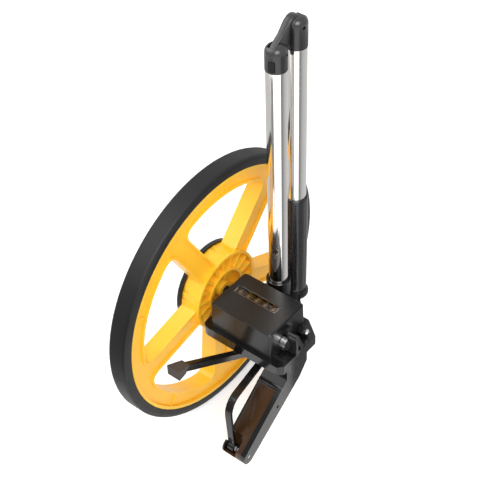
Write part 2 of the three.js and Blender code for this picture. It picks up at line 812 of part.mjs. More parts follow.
function counterHousing() {
  const shell = cut(
    housingLoft(0, housingBottom, housingTop, housingEdge),
    housingLoft(housingWall, housingBottom - overrun, housingTop - housingWall, housingEdge / 2),
  );
  const posts = screwPosts.map(([x, y]) => rodZ(screwPostRadius, housingBottom, housingTop - housingWall / 2, x, y));
  const postHoles = screwPosts.map(([x, y]) =>
    rodZ(baseScrewRadius + seatGap, housingBottom - overrun, housingBottom + baseScrewLength, x, y));
  const innerBossX0 = housingX1 - housingWall - innerBossLength;
  const innerBoss = rodX(innerBossRadius, innerBossX0, housingX1 - housingWall / 2, 0, 0);
  const bossHole = rodX(bushRadius + seatGap, innerBossX0 - overrun, housingX1 - housingWall, 0, 0, tubeFacets);
  const frame = slab(windowX0 - 2 * lensLip, windowX1 + 2 * lensLip, windowY0 - 2 * lensLip, windowY1 + 2 * lensLip,
    housingTop - housingWall - lensWall, housingTop - housingWall / 2);
  const lensSeat = slab(windowX0 - lensLip, windowX1 + lensLip, windowY0 - lensLip, windowY1 + lensLip,
    housingTop - 2 * housingWall, housingTop - lensRecess - lensWall + seatGap);
  const windowHole = slab(windowX0, windowX1, windowY0, windowY1, 0, housingTop + overrun);
  const lug = slab(housingX1 - housingWall, housingX1 + stopLugLength, stopLugY - stopLugWidth / 2,
    stopLugY + stopLugWidth / 2, stopLugZ - stopLugHeight / 2, stopLugZ + stopLugHeight / 2);
  return cut(
    join(shell, ...posts, innerBoss, frame, lug),
    ...postHoles,
    bossHole,
    lensSeat,
    windowHole,
    rodX(bushRadius + seatGap, housingX0 - overrun, housingX0 + housingWall + overrun, 0, 0, tubeFacets),
    rodX(resetShaftRadius + seatGap, housingX1 - housingWall - overrun, housingX1 + overrun, resetY, resetZ,
      tubeFacets),
    rodX(knobStudRadius + seatGap, housingX1 - housingWall - overrun, housingX1 + overrun, knobY, knobZ),
  );
}

function housingGroup() {
  piece('counter_housing', counterHousing(), mattBlack);
  const lensBottom = housingTop - lensRecess - lensWall;
  const plate = slab(windowX0 - lensLip + seatGap, windowX1 + lensLip - seatGap, windowY0 - lensLip + seatGap,
    windowY1 + lensLip - seatGap, lensBottom - lensWall / 2, lensBottom);
  const crown = slab(windowX0 + seatGap, windowX1 - seatGap, windowY0 + seatGap, windowY1 - seatGap,
    lensBottom - lensWall / 2, housingTop - lensRecess);
  piece('window_lens', join(plate, crown), clearPlastic);
  const leftFlangeX0 = housingX0 - seatGap - bushFlangeWall;
  const leftBush = turnedX([
    [axleRadius + axleBoreGap, leftFlangeX0],
    [bushFlangeRadius, leftFlangeX0],
    [bushFlangeRadius, housingX0 - seatGap],
    [bushRadius, housingX0 - seatGap],
    [bushRadius, housingX0 + housingWall],
    [axleRadius + axleBoreGap, housingX0 + housingWall],
  ], 0, 0, tubeFacets);
  piece('axle_bush_left', leftBush, brass);
  const innerBossX0 = housingX1 - housingWall - innerBossLength;
  const rightBush = turnedX([
    [axleRadius + axleBoreGap, innerBossX0 - seatGap - bushFlangeWall],
    [bushFlangeRadius, innerBossX0 - seatGap - bushFlangeWall],
    [bushFlangeRadius, innerBossX0 - seatGap],
    [bushRadius, innerBossX0 - seatGap],
    [bushRadius, housingX1 - housingWall - seatGap],
    [axleRadius + axleBoreGap, housingX1 - housingWall - seatGap],
  ], 0, 0, tubeFacets);
  piece('axle_bush_right', rightBush, brass);
}

// Base frame
const flangeBottom = flangeTop - flangeHeight;
const socketEars = [poleX - socketEarReach, poleX + socketEarReach];

function flangeOutline(inset) {
  const x0 = flangeX0 + inset;
  const x1 = flangeX1 - inset;
  const y0 = flangeY0 + inset;
  const y1 = flangeY1 - inset;
  const lobe0 = seatLobeX0 + inset;
  const lobe1 = seatLobeX1 - inset;
  const back = seatLobeBack - inset;
  return [
    ...arc(yz(x0 + flangeCornerRound, y0 + flangeCornerRound), flangeCornerRound, halfTurn, halfTurn * 3 / 2,
      cornerFacets),
    yz(x1 - flangeChamferFront, y0),
    yz(x1, y0 + flangeChamferFront),
    yz(x1, y1 - flangeChamferBackY),
    yz(x1 - flangeChamferBackX, y1),
    yz(lobe1, y1),
    yz(lobe1, back - seatLobeChamfer),
    yz(lobe1 - seatLobeChamfer, back),
    yz(lobe0 + seatLobeChamfer, back),
    yz(lobe0, back - seatLobeChamfer),
    yz(lobe0, y1),
    ...arc(yz(x0 + flangeCornerRound, y1 - flangeCornerRound), flangeCornerRound, halfTurn / 2, halfTurn,
      cornerFacets),
  ];
}

// The post's side view leans forward from the neck and ends in a round barrel
const postEnd = yz(postEndY, postEndZ);
const postLine = yz(postTopY, postTopZ).sub(postEnd);
const postSlope = postLine.angle() - Math.asin(postEndRadius / postLine.length());
const postReach = Math.sqrt(postLine.lengthSq() - postEndRadius ** 2);

// A point given by its distance along the post from the barrel and its height over the front face
function onPost(along, out) {
  const rise = postEndRadius + out;
  return yz(
    postEndY + Math.cos(postSlope) * along - Math.sin(postSlope) * rise,
    postEndZ + Math.sin(postSlope) * along + Math.cos(postSlope) * rise,
  );
}

function postOutline() {
  const bend = yz(postBendY, postBendZ).sub(postEnd);
  const backSlope = bend.angle() + Math.asin(postEndRadius / bend.length());
  return [
    yz(postNotchY, flangeBottom + flangeWall),
    yz(postNotchY, postNotchZ),
    yz(postTopY, postTopZ),
    ...arc(postEnd, postEndRadius, postSlope + halfTurn / 2, backSlope + halfTurn * 3 / 2, bendFacets * 2),
    yz(postBendY, postBendZ),
    yz(postHeelY, postHeelZ),
    yz(postHeelY, flangeBottom + flangeWall),
  ];
}

const slotX0 = strapFootX - strapWidth / 2 - strapSlotGap;
const slotX1 = strapFootX + strapWidth / 2 + seatGap + springRoom;
const slotRadius = strapEyeRadius + strapSlotGap;

// The front post with its shallow panel, the slot for the strap and spring, and the ribs on its neck
function frontPost() {
  const panelEnd = postReach - ledgeCount * ledgePitch;
  const panel = plateX([
    onPost(0, -postFaceRecess),
    onPost(panelEnd, -postFaceRecess),
    onPost(panelEnd, overrun),
    onPost(0, overrun),
  ], postX0 + postFaceBorder, postX1 - postFaceEdge);
  const ledges = Array.from({ length: ledgeCount }, (_, i) => {
    const start = panelEnd + i * ledgePitch;
    return plateX([
      onPost(start, -postFaceRecess),
      onPost(start + ledgeWall, -postFaceRecess),
      onPost(start + ledgeWall, ledgeProud),
      onPost(start, ledgeProud),
    ], postX0, postX1);
  });
  const way = [
    onPost(slotReachShare * postReach, -2 * strapWall),
    onPost(slotReachShare * postReach, 2 * postEndRadius),
    onPost(-2 * postEndRadius, 2 * postEndRadius),
    onPost(-2 * postEndRadius, 0),
  ];
  const eyeRoom = [...arc(postEnd, slotRadius, postSlope + halfTurn, postSlope + halfTurn * 3 / 2, bendFacets), ...way];
  const leanRoom = [onPost(leanStart, -2 * strapWall), ...way.slice(0, 2), onPost(leanStart, 2 * postEndRadius)];
  const ribs = Array.from({ length: neckRibCount }, (_, i) => {
    const y = THREE.MathUtils.lerp(postHeelY, postNotchY, (i + 1) / (neckRibCount + 1));
    return slab(postX1 - neckRibWall, postX1 + neckRibProud, y - neckRibWall / 2, y + neckRibWall / 2, postNotchZ,
      flangeBottom + flangeWall);
  });
  const body = join(plateX(postOutline(), postX0, postX1), ...ribs, ...ledges);
  return cut(
    body,
    panel,
    plateX(eyeRoom, slotX0, slotX1),
    plateX(leanRoom, postX0 - overrun, slotX1),
    rodX(strapPinRadius + seatGap, postX0 - overrun, postX1 + overrun, postEndY, postEndZ),
    rodX(postHoleRadius, postX1 - postHoleDepth, postX1 + overrun, postHoleY, postHoleZ),
  );
}

// Two lugs that carry the stand leg's pin
function standLugs() {
  const top = flangeTop - flangeWall / 2;
  const profile = [
    ...arc(yz(standY, standZ), lugReach, halfTurn, fullTurn, bendFacets),
    yz(standY + 2 * lugReach, top),
    yz(standY - 2 * lugReach, top),
  ];
  const inner = standWidth / 2 + seatGap;
  const eye = rodX(standPinRadius + seatGap, standX - 2 * standWidth, standX + 2 * standWidth, standY, standZ);
  return [-1, 1].map((side) => {
    const faces = [standX + side * inner, standX + side * (inner + lugWall)].sort((a, b) => a - b);
    return cut(plateX(profile, ...faces), eye);
  });
}

// Two cheeks that keep the strap's head in line under the base
function strapGuide() {
  const inner = strapWidth / 2 + strapGuideGap;
  return [-1, 1].map((side) => {
    const faces = [strapHeadX + side * inner, strapHeadX + side * (inner + guideWall)].sort((a, b) => a - b);
    return slab(...faces, strapHeadY - guideLength / 2, strapHeadY + guideLength / 2, flangeBottom - guideDrop,
      flangeTop - flangeWall / 2);
  });
}

function baseFrame() {
  const plate = plateZ(flangeOutline(0), flangeBottom, flangeTop);
  const hollow = plateZ(flangeOutline(flangeSkirt), flangeBottom - overrun, flangeTop - flangeWall);
  const padTop = flangeTop - flangeWall / 2;
  const seatPad = ringZ(socketRadius - flangeSkirt, socketRadius, flangeBottom, padTop, poleX, lowerPoleY, tubeFacets);
  const screwAxes = [...screwPosts, ...socketEars.map((x) => [x, lowerPoleY])];
  const pads = screwAxes.map(([x, y]) => rodZ(screwPostRadius + seatGap, flangeBottom, padTop, x, y));
  const holes = screwAxes.map(([x, y]) =>
    rodZ(baseScrewRadius + seatGap, flangeBottom - overrun, flangeTop + overrun, x, y));
  return cut(join(cut(plate, hollow), seatPad, ...pads, frontPost(), ...standLugs(), ...strapGuide()), ...holes);
}

// A screw along Z with its head below
function screwUp(x, y, headBottom, length) {
  return turnedZ([
    [0, headBottom],
    [baseScrewHeadRadius, headBottom],
    [baseScrewHeadRadius, headBottom + baseScrewHead],
    [baseScrewRadius, headBottom + baseScrewHead],
    [baseScrewRadius, headBottom + length],
    [0, headBottom + length],
  ], x, y);
}

function baseGroup() {
  piece('base_frame', baseFrame(), blackPlastic);
  const headBottom = flangeBottom - seatGap - baseScrewHead;
  const length = flangeHeight + baseScrewLength;
  screwPosts.forEach(([x, y], i) => piece(`counter_screw_${i + 1}`, screwUp(x, y, headBottom, length - seatGap),
    plainSteel));
  const socketLength = flangeHeight + baseScrewHead + seatGap + socketFlangeWall;
  socketEars.forEach((x, i) => piece(`socket_screw_${i + 1}`, screwUp(x, lowerPoleY, headBottom, socketLength),
    plainSteel));
}

// Pole socket, tubes and elbow
const socketBottom = flangeTop + seatGap;

function poleGroup() {
  const earPlate = [
    ...arc(yz(socketEars[1], lowerPoleY), socketEarRadius, -halfTurn / 2, halfTurn / 2, bendFacets),
    ...arc(yz(socketEars[0], lowerPoleY), socketEarRadius, halfTurn / 2, halfTurn * 3 / 2, bendFacets),
  ];
  const socket = join(
    rodZ(socketRadius, socketBottom, socketTop, poleX, lowerPoleY, tubeFacets),
    plateZ(earPlate, socketBottom, socketBottom + socketFlangeWall),
  );
  const socketBore = rodZ(tubeRadius + seatGap, socketBottom + socketFloor, socketTop + overrun, poleX, lowerPoleY,
    tubeFacets);
  const earHoles = socketEars.map((x) => rodZ(baseScrewRadius + seatGap, socketBottom - overrun,
    socketBottom + socketFlangeWall + overrun, x, lowerPoleY));
  piece('pole_socket', cut(socket, socketBore, ...earHoles), blackPlastic);
  piece('lower_tube', ringZ(tubeRadius - tubeWall, tubeRadius, socketBottom + socketFloor + seatGap, lowerTubeTop,
    poleX, lowerPoleY, tubeFacets), polishedSteel);
  piece('upper_tube', ringZ(tubeRadius - tubeWall, tubeRadius, upperTubeBottom, upperTubeTop, poleX, upperPoleY,
    tubeFacets), polishedSteel);
}

const lowerPin = yz(lowerPoleY + pinInset, lowerPinZ);
const upperPin = yz(upperPoleY - pinInset, upperPinZ);
const linkSlope = upperPin.clone().sub(lowerPin).angle();
const linkX0 = poleX - linkWall / 2;

// The elbow link: a plate with a round end on each pin
function linkOutline() {
  return [
    ...arc(upperPin, linkRadius, linkSlope - halfTurn / 2, linkSlope + halfTurn / 2, bendFacets * 2),
    ...arc(lowerPin, linkRadius, linkSlope + halfTurn / 2, linkSlope + halfTurn * 3 / 2, bendFacets * 2),
  ];
}

// The room a link sweeps in a knuckle as the pole unfolds, open upwards and on one side (+1 or -1 along Y)
function linkRoom(pin, side) {
  const room = linkRadius + seatGap;
  const far = 4 * knuckleRadius;
  const below = linkSlope - halfTurn / 2;
  const start = side > 0 ? halfTurn : 0;
  const end = side > 0 ? below + fullTurn : below;
  const run = polar(side * far, linkSlope).add(polar(room, below)).add(pin);
  return plateX([
    ...arc(pin, room, start, end, bendFacets * 2),
    run,
    yz(pin.x + side * far, pin.y + far),
    yz(pin.x - side * room, pin.y + far),
  ], linkX0 - seatGap, linkX0 + linkWall + seatGap);
}

// A knuckle closes a tube's end with a round head, split for the link
function knuckle(poleY, tubeTop, pin, side) {
  const shoulder = tubeTop + seatGap;
  const spigot = rodZ(tubeRadius - tubeWall - seatGap, tubeTop - spigotLength, shoulder + overrun, poleX, poleY,
    tubeFacets);
  const crown = arc(yz(0, pin.y - domeDrop), knuckleRadius, 0, halfTurn / 2, cornerFacets);
  const head = turnedZ([
    [0, shoulder],
    [knuckleRadius, shoulder],
    ...crown.slice(0, -1).map((p) => p.toArray()),
    [0, crown.at(-1).y],
  ], poleX, poleY, tubeFacets);
  const hole = rodX(elbowPinRadius + seatGap, poleX - 2 * knuckleRadius, poleX + 2 * knuckleRadius, pin.x, pin.y);
  return cut(join(spigot, head), linkRoom(pin, side), hole);
}

function elbowPin(pin) {
  const reach = knuckleRadius - elbowPinSink;
  return rodX(elbowPinRadius, poleX - reach, poleX + reach, pin.x, pin.y);
}

function elbowGroup() {
  const pocket = slab(buttonX - buttonWidth / 2 - seatGap, buttonX + buttonWidth / 2 + seatGap,
    lowerPoleY - knuckleRadius - overrun, lowerPoleY - knuckleRadius + buttonDepth + buttonTravel + seatGap,
    buttonZ - buttonHeight / 2 - seatGap, buttonZ + buttonHeight / 2 + seatGap);
  piece('lower_knuckle', cut(knuckle(lowerPoleY, lowerTubeTop, lowerPin, 1), pocket), blackPlastic);
  piece('upper_knuckle', knuckle(upperPoleY, upperTubeTop, upperPin, -1), blackPlastic);
  const link = plateX(linkOutline(), linkX0, linkX0 + linkWall);
  const linkHole = (pin) => rodX(elbowPinRadius + seatGap, linkX0 - overrun, linkX0 + linkWall + overrun, pin.x,
    pin.y);
  piece('elbow_link', cut(link, linkHole(lowerPin), linkHole(upperPin)), blackPlastic);
  piece('lower_elbow_pin', elbowPin(lowerPin), plainSteel);
  piece('upper_elbow_pin', elbowPin(upperPin), plainSteel);
  const buttonFront = lowerPoleY - knuckleRadius - buttonProud;
  piece('elbow_lock_button', slab(buttonX - buttonWidth / 2, buttonX + buttonWidth / 2, buttonFront,
    buttonFront + buttonDepth, buttonZ - buttonHeight / 2, buttonZ + buttonHeight / 2), mattBlack);
}

// Grip sleeve and pommel on the upper tube
function gripGroup() {
  const bore = tubeRadius + seatGap;
  const steps = bendFacets + 2;
  const outside = Array.from({ length: steps + 1 }, (_, i) => {
    const t = i / steps;
    const z = gripTop - gripEdge + t * (gripBottom + gripEdge - gripTop + gripEdge);
    const depth = THREE.MathUtils.smoothstep(z, gripWaistZ, gripTop - 3 * gripRadius);
    return [gripWaist + (gripRadius - gripWaist) * depth, z];
  });
  const sleeve = turnedZ([
    [bore, gripBottom],
    [gripWaist - gripEdge / 2, gripBottom],
    ...[...outside].reverse(),
    [gripRadius - gripEdge, gripTop],
    [bore, gripTop],
  ], poleX, upperPoleY, tubeFacets);
  piece('grip_sleeve', sleeve, gripRubber);
  const pommelTop = gripBottom - seatGap;
  const pommel = turnedZ([
    [0, pommelBottom],
    [pommelRadius - pommelChamfer, pommelBottom],
    [pommelRadius, pommelBottom + pommelChamfer],
    [pommelRadius, pommelTop - pommelChamfer],
    [pommelNeck, pommelTop],
    [tubeRadius - tubeWall - seatGap, pommelTop],
    [tubeRadius - tubeWall - seatGap, pommelTop + spigotLength],
    [0, pommelTop + spigotLength],
  ], poleX, upperPoleY, tubeFacets);
  piece('grip_pommel', pommel, blackPlastic);
}

// Stand leg with its rubber foot
function standGroup() {
  const along = polar(1, halfTurn - standRise);
  const across = yz(-along.y, along.x);
  const at = (s, t) => yz(standY + along.x * s + across.x * t, standZ + along.y * s + across.y * t);
  const half = standHeight / 2;
  const tongueStart = standLength - footLength / 2 - seatGap;
  const direction = halfTurn - standRise;
  const arm = plateX([
    ...arc(yz(standY, standZ), standEyeRadius, direction + halfTurn / 3, direction + halfTurn * 5 / 3,
      bendFacets * 2),
    at(2 * standEyeRadius, -half),
    at(tongueStart, -half),
    at(tongueStart, -half / 2),
    at(tongueStart + footTongue, -half / 2),
    at(tongueStart + footTongue, half / 2),
    at(tongueStart, half / 2),
    at(tongueStart, half),
    at(2 * standEyeRadius, half),
  ], standX - standWidth / 2, standX + standWidth / 2);
  const reach = standWidth / 2 + lugWall + seatGap;
  const eye = rodX(standPinRadius + seatGap, standX - reach, standX + reach, standY, standZ);
  piece('stand_leg', cut(arm, eye), blackPlastic);
  piece('stand_pin', rodX(standPinRadius, standX - reach, standX + reach, standY, standZ), plainSteel);
  const block = plateX([
    at(standLength - footLength / 2, -footHeight / 2),
    at(standLength + footLength / 2, -footHeight / 2),
    at(standLength + footLength / 2, footHeight / 2),
    at(standLength - footLength / 2, footHeight / 2),
  ], standX - footWidth / 2, standX + footWidth / 2);
  const hole = plateX([
    at(tongueStart - seatGap, -half / 2 - seatGap),
    at(tongueStart + footTongue + seatGap, -half / 2 - seatGap),
    at(tongueStart + footTongue + seatGap, half / 2 + seatGap),
    at(tongueStart - seatGap, half / 2 + seatGap),
  ], standX - standWidth / 2 - seatGap, standX + standWidth / 2 + seatGap);
  piece('stand_foot', cut(block, hole), gripRubber);
}

// Brake lever: a strap bent once, leaning from the post's end to the guide under the base
function brakeGroup() {
  const foot = yz(postEndY, postEndZ);
  const corner = yz(strapBendY, strapBendZ);
  const tip = yz(strapHeadY + guideLength / 3, strapBendZ);
  const inward = foot.clone().sub(corner).normalize();
  const onward = tip.clone().sub(corner).normalize();
  const halfAngle = Math.acos(inward.dot(onward)) / 2;
  const setback = strapBendRadius / Math.tan(halfAngle);
  const bisector = inward.clone().add(onward).normalize();
  const centre = corner.clone().addScaledVector(bisector, strapBendRadius / Math.sin(halfAngle));
  const bendStart = corner.clone().addScaledVector(inward, setback).sub(centre);
  const bendEnd = corner.clone().addScaledVector(onward, setback).sub(centre);
  const from = bendStart.angle();
  const to = bendEnd.angle() > from ? bendEnd.angle() - fullTurn : bendEnd.angle();
  const straight = yz(strapHeadY - guideLength, strapBendZ);
  const line = [foot, ...arc(centre, strapBendRadius, from, to, bendFacets), straight, tip];
  const lengths = [0];
  for (let i = 1; i < line.length; i++) lengths.push(lengths[i - 1] + line[i].distanceTo(line[i - 1]));
  const rings = line.map((point, i) => {
    const before = line[Math.max(0, i - 1)];
    const after = line[Math.min(line.length - 1, i + 1)];
    const heading = after.clone().sub(before).normalize();
    const lean = Math.min(1, lengths[i] / lengths.at(-2));
    const x = THREE.MathUtils.lerp(strapFootX, strapHeadX, lean);
    const corners = [[-1, -1], [1, -1], [1, 1], [-1, 1]];
    return corners.map(([a, b]) => new THREE.Vector3(
      x + a * strapWidth / 2,
      point.x - b * heading.y * strapWall / 2,
      point.y + b * heading.x * strapWall / 2,
    ));
  });
  const eye = rodX(strapEyeRadius, strapFootX - strapWidth / 2, strapFootX + strapWidth / 2, postEndY, postEndZ);
  const hole = rodX(strapPinRadius + seatGap, strapFootX - strapWidth, strapFootX + strapWidth, postEndY, postEndZ);
  piece('brake_lever', cut(join(loft(rings), eye), hole), blackPlastic);
  piece('brake_lever_pin', rodX(strapPinRadius, postX0 + seatGap, postX1 - seatGap, postEndY, postEndZ), plainSteel);
  const springX0 = strapFootX + strapWidth / 2 + seatGap + springWire / 2;
  const pitch = springWire * springPitchShare;
  class Coil extends THREE.Curve {
    getPoint(t) {
      const around = polar(springRadius, t * springTurns * fullTurn);
      return new THREE.Vector3(springX0 + t * springTurns * pitch, postEndY + around.x, postEndZ + around.y);
    }
  }
  const path = new Coil();
  const steps = springTurns * springSteps;
  const points = path.getPoints(steps);
  const spans = points.flatMap((p, i) => points.slice(i + springSteps / 2).map((q) => q.distanceTo(p)));
  console.log(`brake_lever_spring least gap to itself ${(Math.min(...spans) - springWire).toFixed(2)} mm`);
  const wire = new THREE.Shape(arc(new THREE.Vector2(), springWire / 2, 0, fullTurn, springSides).slice(0, -1));
  const coil = new THREE.ExtrudeGeometry(wire, { steps, extrudePath: path });
  piece('brake_lever_spring', solid(coil), plainSteel);
}

// Reset lever and thumb knob
function controlsGroup() {
  const discX0 = housingX1 + seatGap;
  const discX1 = discX0 + resetDiscWall;
  const inner = drumX0 + drumCount * drumPitch + 4 * bracketWall;
  const shaftEnd = discX1 + leverBoreDepth - seatGap;
  const disc = turnedX([
    [0, inner],
    [resetShaftRadius, inner],
    [resetShaftRadius, discX0],
    [resetDiscRadius, discX0],
    [resetDiscRadius, discX1],
    [resetShaftRadius, discX1],
    [resetShaftRadius, shaftEnd],
    [0, shaftEnd],
  ], resetY, resetZ, tubeFacets);
  piece('reset_shaft', disc, chrome);
  const leverX0 = discX1 + seatGap;
  const leverX1 = leverX0 + leverWall;
  const lever = hull(
    rodX(leverApexRadius, leverX0, leverX1, leverApexY, leverApexZ),
    rodX(leverHeelRadius, leverX0, leverX1, leverHeelY, leverHeelZ),
    rodX(leverBellyRadius, leverX0, leverX1, leverBellyY, leverBellyZ),
  );
  const bore = rodX(resetShaftRadius + leverPinGap, leverX0 - overrun, leverX0 + leverBoreDepth, resetY, resetZ);
  const eye = plateX([
    yz(leverEyeY, leverEyeBottom),
    yz(leverEyeY + leverEyeReach, leverEyeBottom),
    yz(leverEyeY, leverEyeTop),
  ], leverX1 - leverEyeDepth, leverX1 + overrun);
  piece('reset_lever', cut(lever, bore, eye), blackPlastic);
  const knobX0 = housingX1 + seatGap;
  const knobX1 = knobX0 + knobLength;
  const ribbed = starOutline(knobRibs, knobRadius - knobRibDepth, knobRadius, 0);
  const knobBody = plateX(shifted(ribbed, knobY, knobZ), knobX0, knobX1);
  const knobBore = rodX(knobStudRadius + seatGap, knobX0 - overrun, knobX1 + overrun, knobY, knobZ);
  piece('thumb_knob', cut(knobBody, knobBore), blackPlastic);
  const studX0 = housingX1 - housingWall;
  const cap = turnedX([
    [0, studX0],
    [knobStudRadius, studX0],
    [knobStudRadius, knobX1 + seatGap],
    [knobCapRadius, knobX1 + seatGap],
    [knobCapRadius, knobX1 + knobCapLength / 2],
    [knobCapRadius / 2, knobX1 + knobCapLength],
    [0, knobX1 + knobCapLength],
  ], knobY, knobZ, pinFacets);
  piece('knob_stud', cap, chrome);
}

wheelGroup();
counterGroup();
housingGroup();
baseGroup();
poleGroup();
elbowGroup();
gripGroup();
standGroup();
brakeGroup();
controlsGroup();

// The origin is the middle of the model's footprint, level with the tyre's lowest point
const bounds = new THREE.Box3().setFromObject(model);
const middle = bounds.getCenter(new THREE.Vector3());
model.position.set(-middle.x, -middle.y, -bounds.min.z);

export default model;
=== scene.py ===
"""Looks for the folding measuring wheel: yellow spoked wheel, black counter and base, steel poles.

Sizes are in millimetres from the point where the axle meets the rim's near face.
X runs along the axle towards the counter, Z along the poles, and the user stands at +Y.
"""

import json
import math

import bmesh
import bpy
import numpy as np
from mathutils import Matrix, Vector

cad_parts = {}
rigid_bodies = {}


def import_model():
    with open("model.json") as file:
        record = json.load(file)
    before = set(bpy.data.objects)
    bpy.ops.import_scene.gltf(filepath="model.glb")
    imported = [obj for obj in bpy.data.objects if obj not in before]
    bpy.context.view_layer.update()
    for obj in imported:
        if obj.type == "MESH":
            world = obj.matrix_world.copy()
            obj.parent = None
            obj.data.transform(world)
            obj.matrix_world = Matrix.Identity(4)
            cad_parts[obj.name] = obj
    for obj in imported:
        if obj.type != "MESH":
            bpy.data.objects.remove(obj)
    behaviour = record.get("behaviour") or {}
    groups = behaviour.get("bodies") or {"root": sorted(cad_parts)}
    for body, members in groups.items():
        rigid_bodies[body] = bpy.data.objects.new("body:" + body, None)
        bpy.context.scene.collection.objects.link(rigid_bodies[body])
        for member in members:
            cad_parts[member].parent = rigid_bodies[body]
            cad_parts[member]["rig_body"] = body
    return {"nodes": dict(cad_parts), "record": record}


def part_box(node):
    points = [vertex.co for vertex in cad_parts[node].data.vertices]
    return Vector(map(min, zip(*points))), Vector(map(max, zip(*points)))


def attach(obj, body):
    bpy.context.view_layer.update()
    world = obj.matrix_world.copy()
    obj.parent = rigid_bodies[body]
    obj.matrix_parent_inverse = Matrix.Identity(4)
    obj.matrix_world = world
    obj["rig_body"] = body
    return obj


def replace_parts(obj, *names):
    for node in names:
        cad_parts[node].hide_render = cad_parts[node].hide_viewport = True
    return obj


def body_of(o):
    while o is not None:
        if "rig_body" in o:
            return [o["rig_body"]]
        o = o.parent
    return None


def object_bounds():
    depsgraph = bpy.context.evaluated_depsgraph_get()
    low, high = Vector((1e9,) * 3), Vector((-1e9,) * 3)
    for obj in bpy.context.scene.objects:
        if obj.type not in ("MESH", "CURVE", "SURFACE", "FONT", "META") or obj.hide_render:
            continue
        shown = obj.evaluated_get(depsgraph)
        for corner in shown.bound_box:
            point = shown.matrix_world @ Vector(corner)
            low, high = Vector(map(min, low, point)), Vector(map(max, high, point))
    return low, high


MM = 0.001
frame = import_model()
cad_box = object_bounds()


# Places taken from the frame


def middle(node):
    """Centre of a node's box, in metres."""
    low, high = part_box(node)
    return (low + high) / 2


def span(node):
    """Lowest and highest corner of a node, in millimetres from the datum."""
    low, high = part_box(node)
    return np.array(low - DATUM) / MM, np.array(high - DATUM) / MM


TYRE_PROUD = 0.3
DATUM = Vector((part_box("tyre")[1].x - TYRE_PROUD * MM, middle("tyre").y, middle("tyre").z))


def body_under(node):
    """The body that a node rides on."""
    return body_of(frame["nodes"][node])[0]


# Surfaces worked out on grids


def mesh_piece(name, points, faces, finish, body, smooth=True):
    """One piece from points in millimetres and a face list, riding on a body."""
    mesh = bpy.data.meshes.new(name)
    mesh.from_pydata((np.asarray(points) * MM + np.array(DATUM)).tolist(), [], faces)
    mesh.polygons.foreach_set("use_smooth", [smooth] * len(mesh.polygons))
    mesh.materials.append(finish)
    piece = bpy.data.objects.new(name, mesh)
    bpy.context.scene.collection.objects.link(piece)
    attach(piece, body)
    return piece


def grid_faces(rows, columns, close_rows=False, close_columns=True):
    """Quads of a grid of points stored row after row, closed where asked."""
    row = np.arange(rows if close_rows else rows - 1)
    column = np.arange(columns if close_columns else columns - 1)
    r, c = np.meshgrid(row, column, indexing="ij")
    r_next, c_next = (r + 1) % rows, (c + 1) % columns
    quads = [r * columns + c, r * columns + c_next, r_next * columns + c_next, r_next * columns + c]
    return np.stack(quads, -1).reshape(-1, 4).tolist()


LONGEST_SETBACK = 0.45


def rounded(profile, radius, steps=4):
    """A closed outline with softened corners.

    Each corner becomes the curve (1 - t)^2 start + 2 t (1 - t) corner + t^2 end, where start and end lie back
    from the corner by radius / tan(half its angle), or by less than half of a short side.
    """
    corners = np.asarray(profile, float)
    before, after = np.roll(corners, 1, 0), np.roll(corners, -1, 0)
    back, onward = before - corners, after - corners
    reach_back, reach_on = np.linalg.norm(back, axis=1), np.linalg.norm(onward, axis=1)
    back, onward = back / reach_back[:, None], onward / reach_on[:, None]
    cosine = np.clip((back * onward).sum(1), -0.999, 0.999)
    half = np.arccos(cosine) / 2
    setback = np.minimum(radius / np.tan(half), np.minimum(reach_back, reach_on) * LONGEST_SETBACK)
    start, end = corners + back * setback[:, None], corners + onward * setback[:, None]
    t = np.linspace(0, 1, steps + 1)[None, :, None]
    curve = (1 - t) ** 2 * start[:, None] + 2 * t * (1 - t) * corners[:, None] + t**2 * end[:, None]
    return curve.reshape(-1, 2)


def turned(axis, profile, centre, steps):
    """Profile points (radius, along) carried round an axis: centre + radius * (cos, sin) of the turn, along."""
    profile = np.asarray(profile, float)
    angle = np.linspace(0, 2 * math.pi, steps, endpoint=False)
    radius, along = profile[:, 0][:, None], profile[:, 1][:, None] + 0 * angle
    across, up = radius * np.cos(angle), radius * np.sin(angle)
    if axis == "x":
        return np.stack([along, centre[0] + across, centre[1] + up], -1).reshape(-1, 3)
    return np.stack([centre[0] + across, centre[1] + up, along], -1).reshape(-1, 3)


def turned_piece(name, axis, profile, centre, finish, body, steps=96, edge=0.3):
    """A closed profile with softened corners turned about an axis."""
    soft = rounded(profile, edge)
    signed = np.cross(soft, np.roll(soft, -1, 0)).sum()
    soft = soft if signed < 0 else soft[::-1]
    faces = grid_faces(len(soft), steps, close_rows=True)
    piece = mesh_piece(name, turned(axis, soft, centre, steps), faces, finish, body)
    return outward(piece)


MERGE_REACH = 1e-6
NODE_MERGE_REACH = 2e-6
FLAT_ANGLE = math.radians(0.6)


def outward(piece):
    """Doubles merged and faces turned to point out."""
    shape = bmesh.new()
    shape.from_mesh(piece.data)
    bmesh.ops.remove_doubles(shape, verts=shape.verts, dist=MERGE_REACH)
    bmesh.ops.dissolve_degenerate(shape, edges=shape.edges, dist=MERGE_REACH)
    bmesh.ops.recalc_face_normals(shape, faces=shape.faces)
    shape.to_mesh(piece.data)
    shape.free()
    return piece


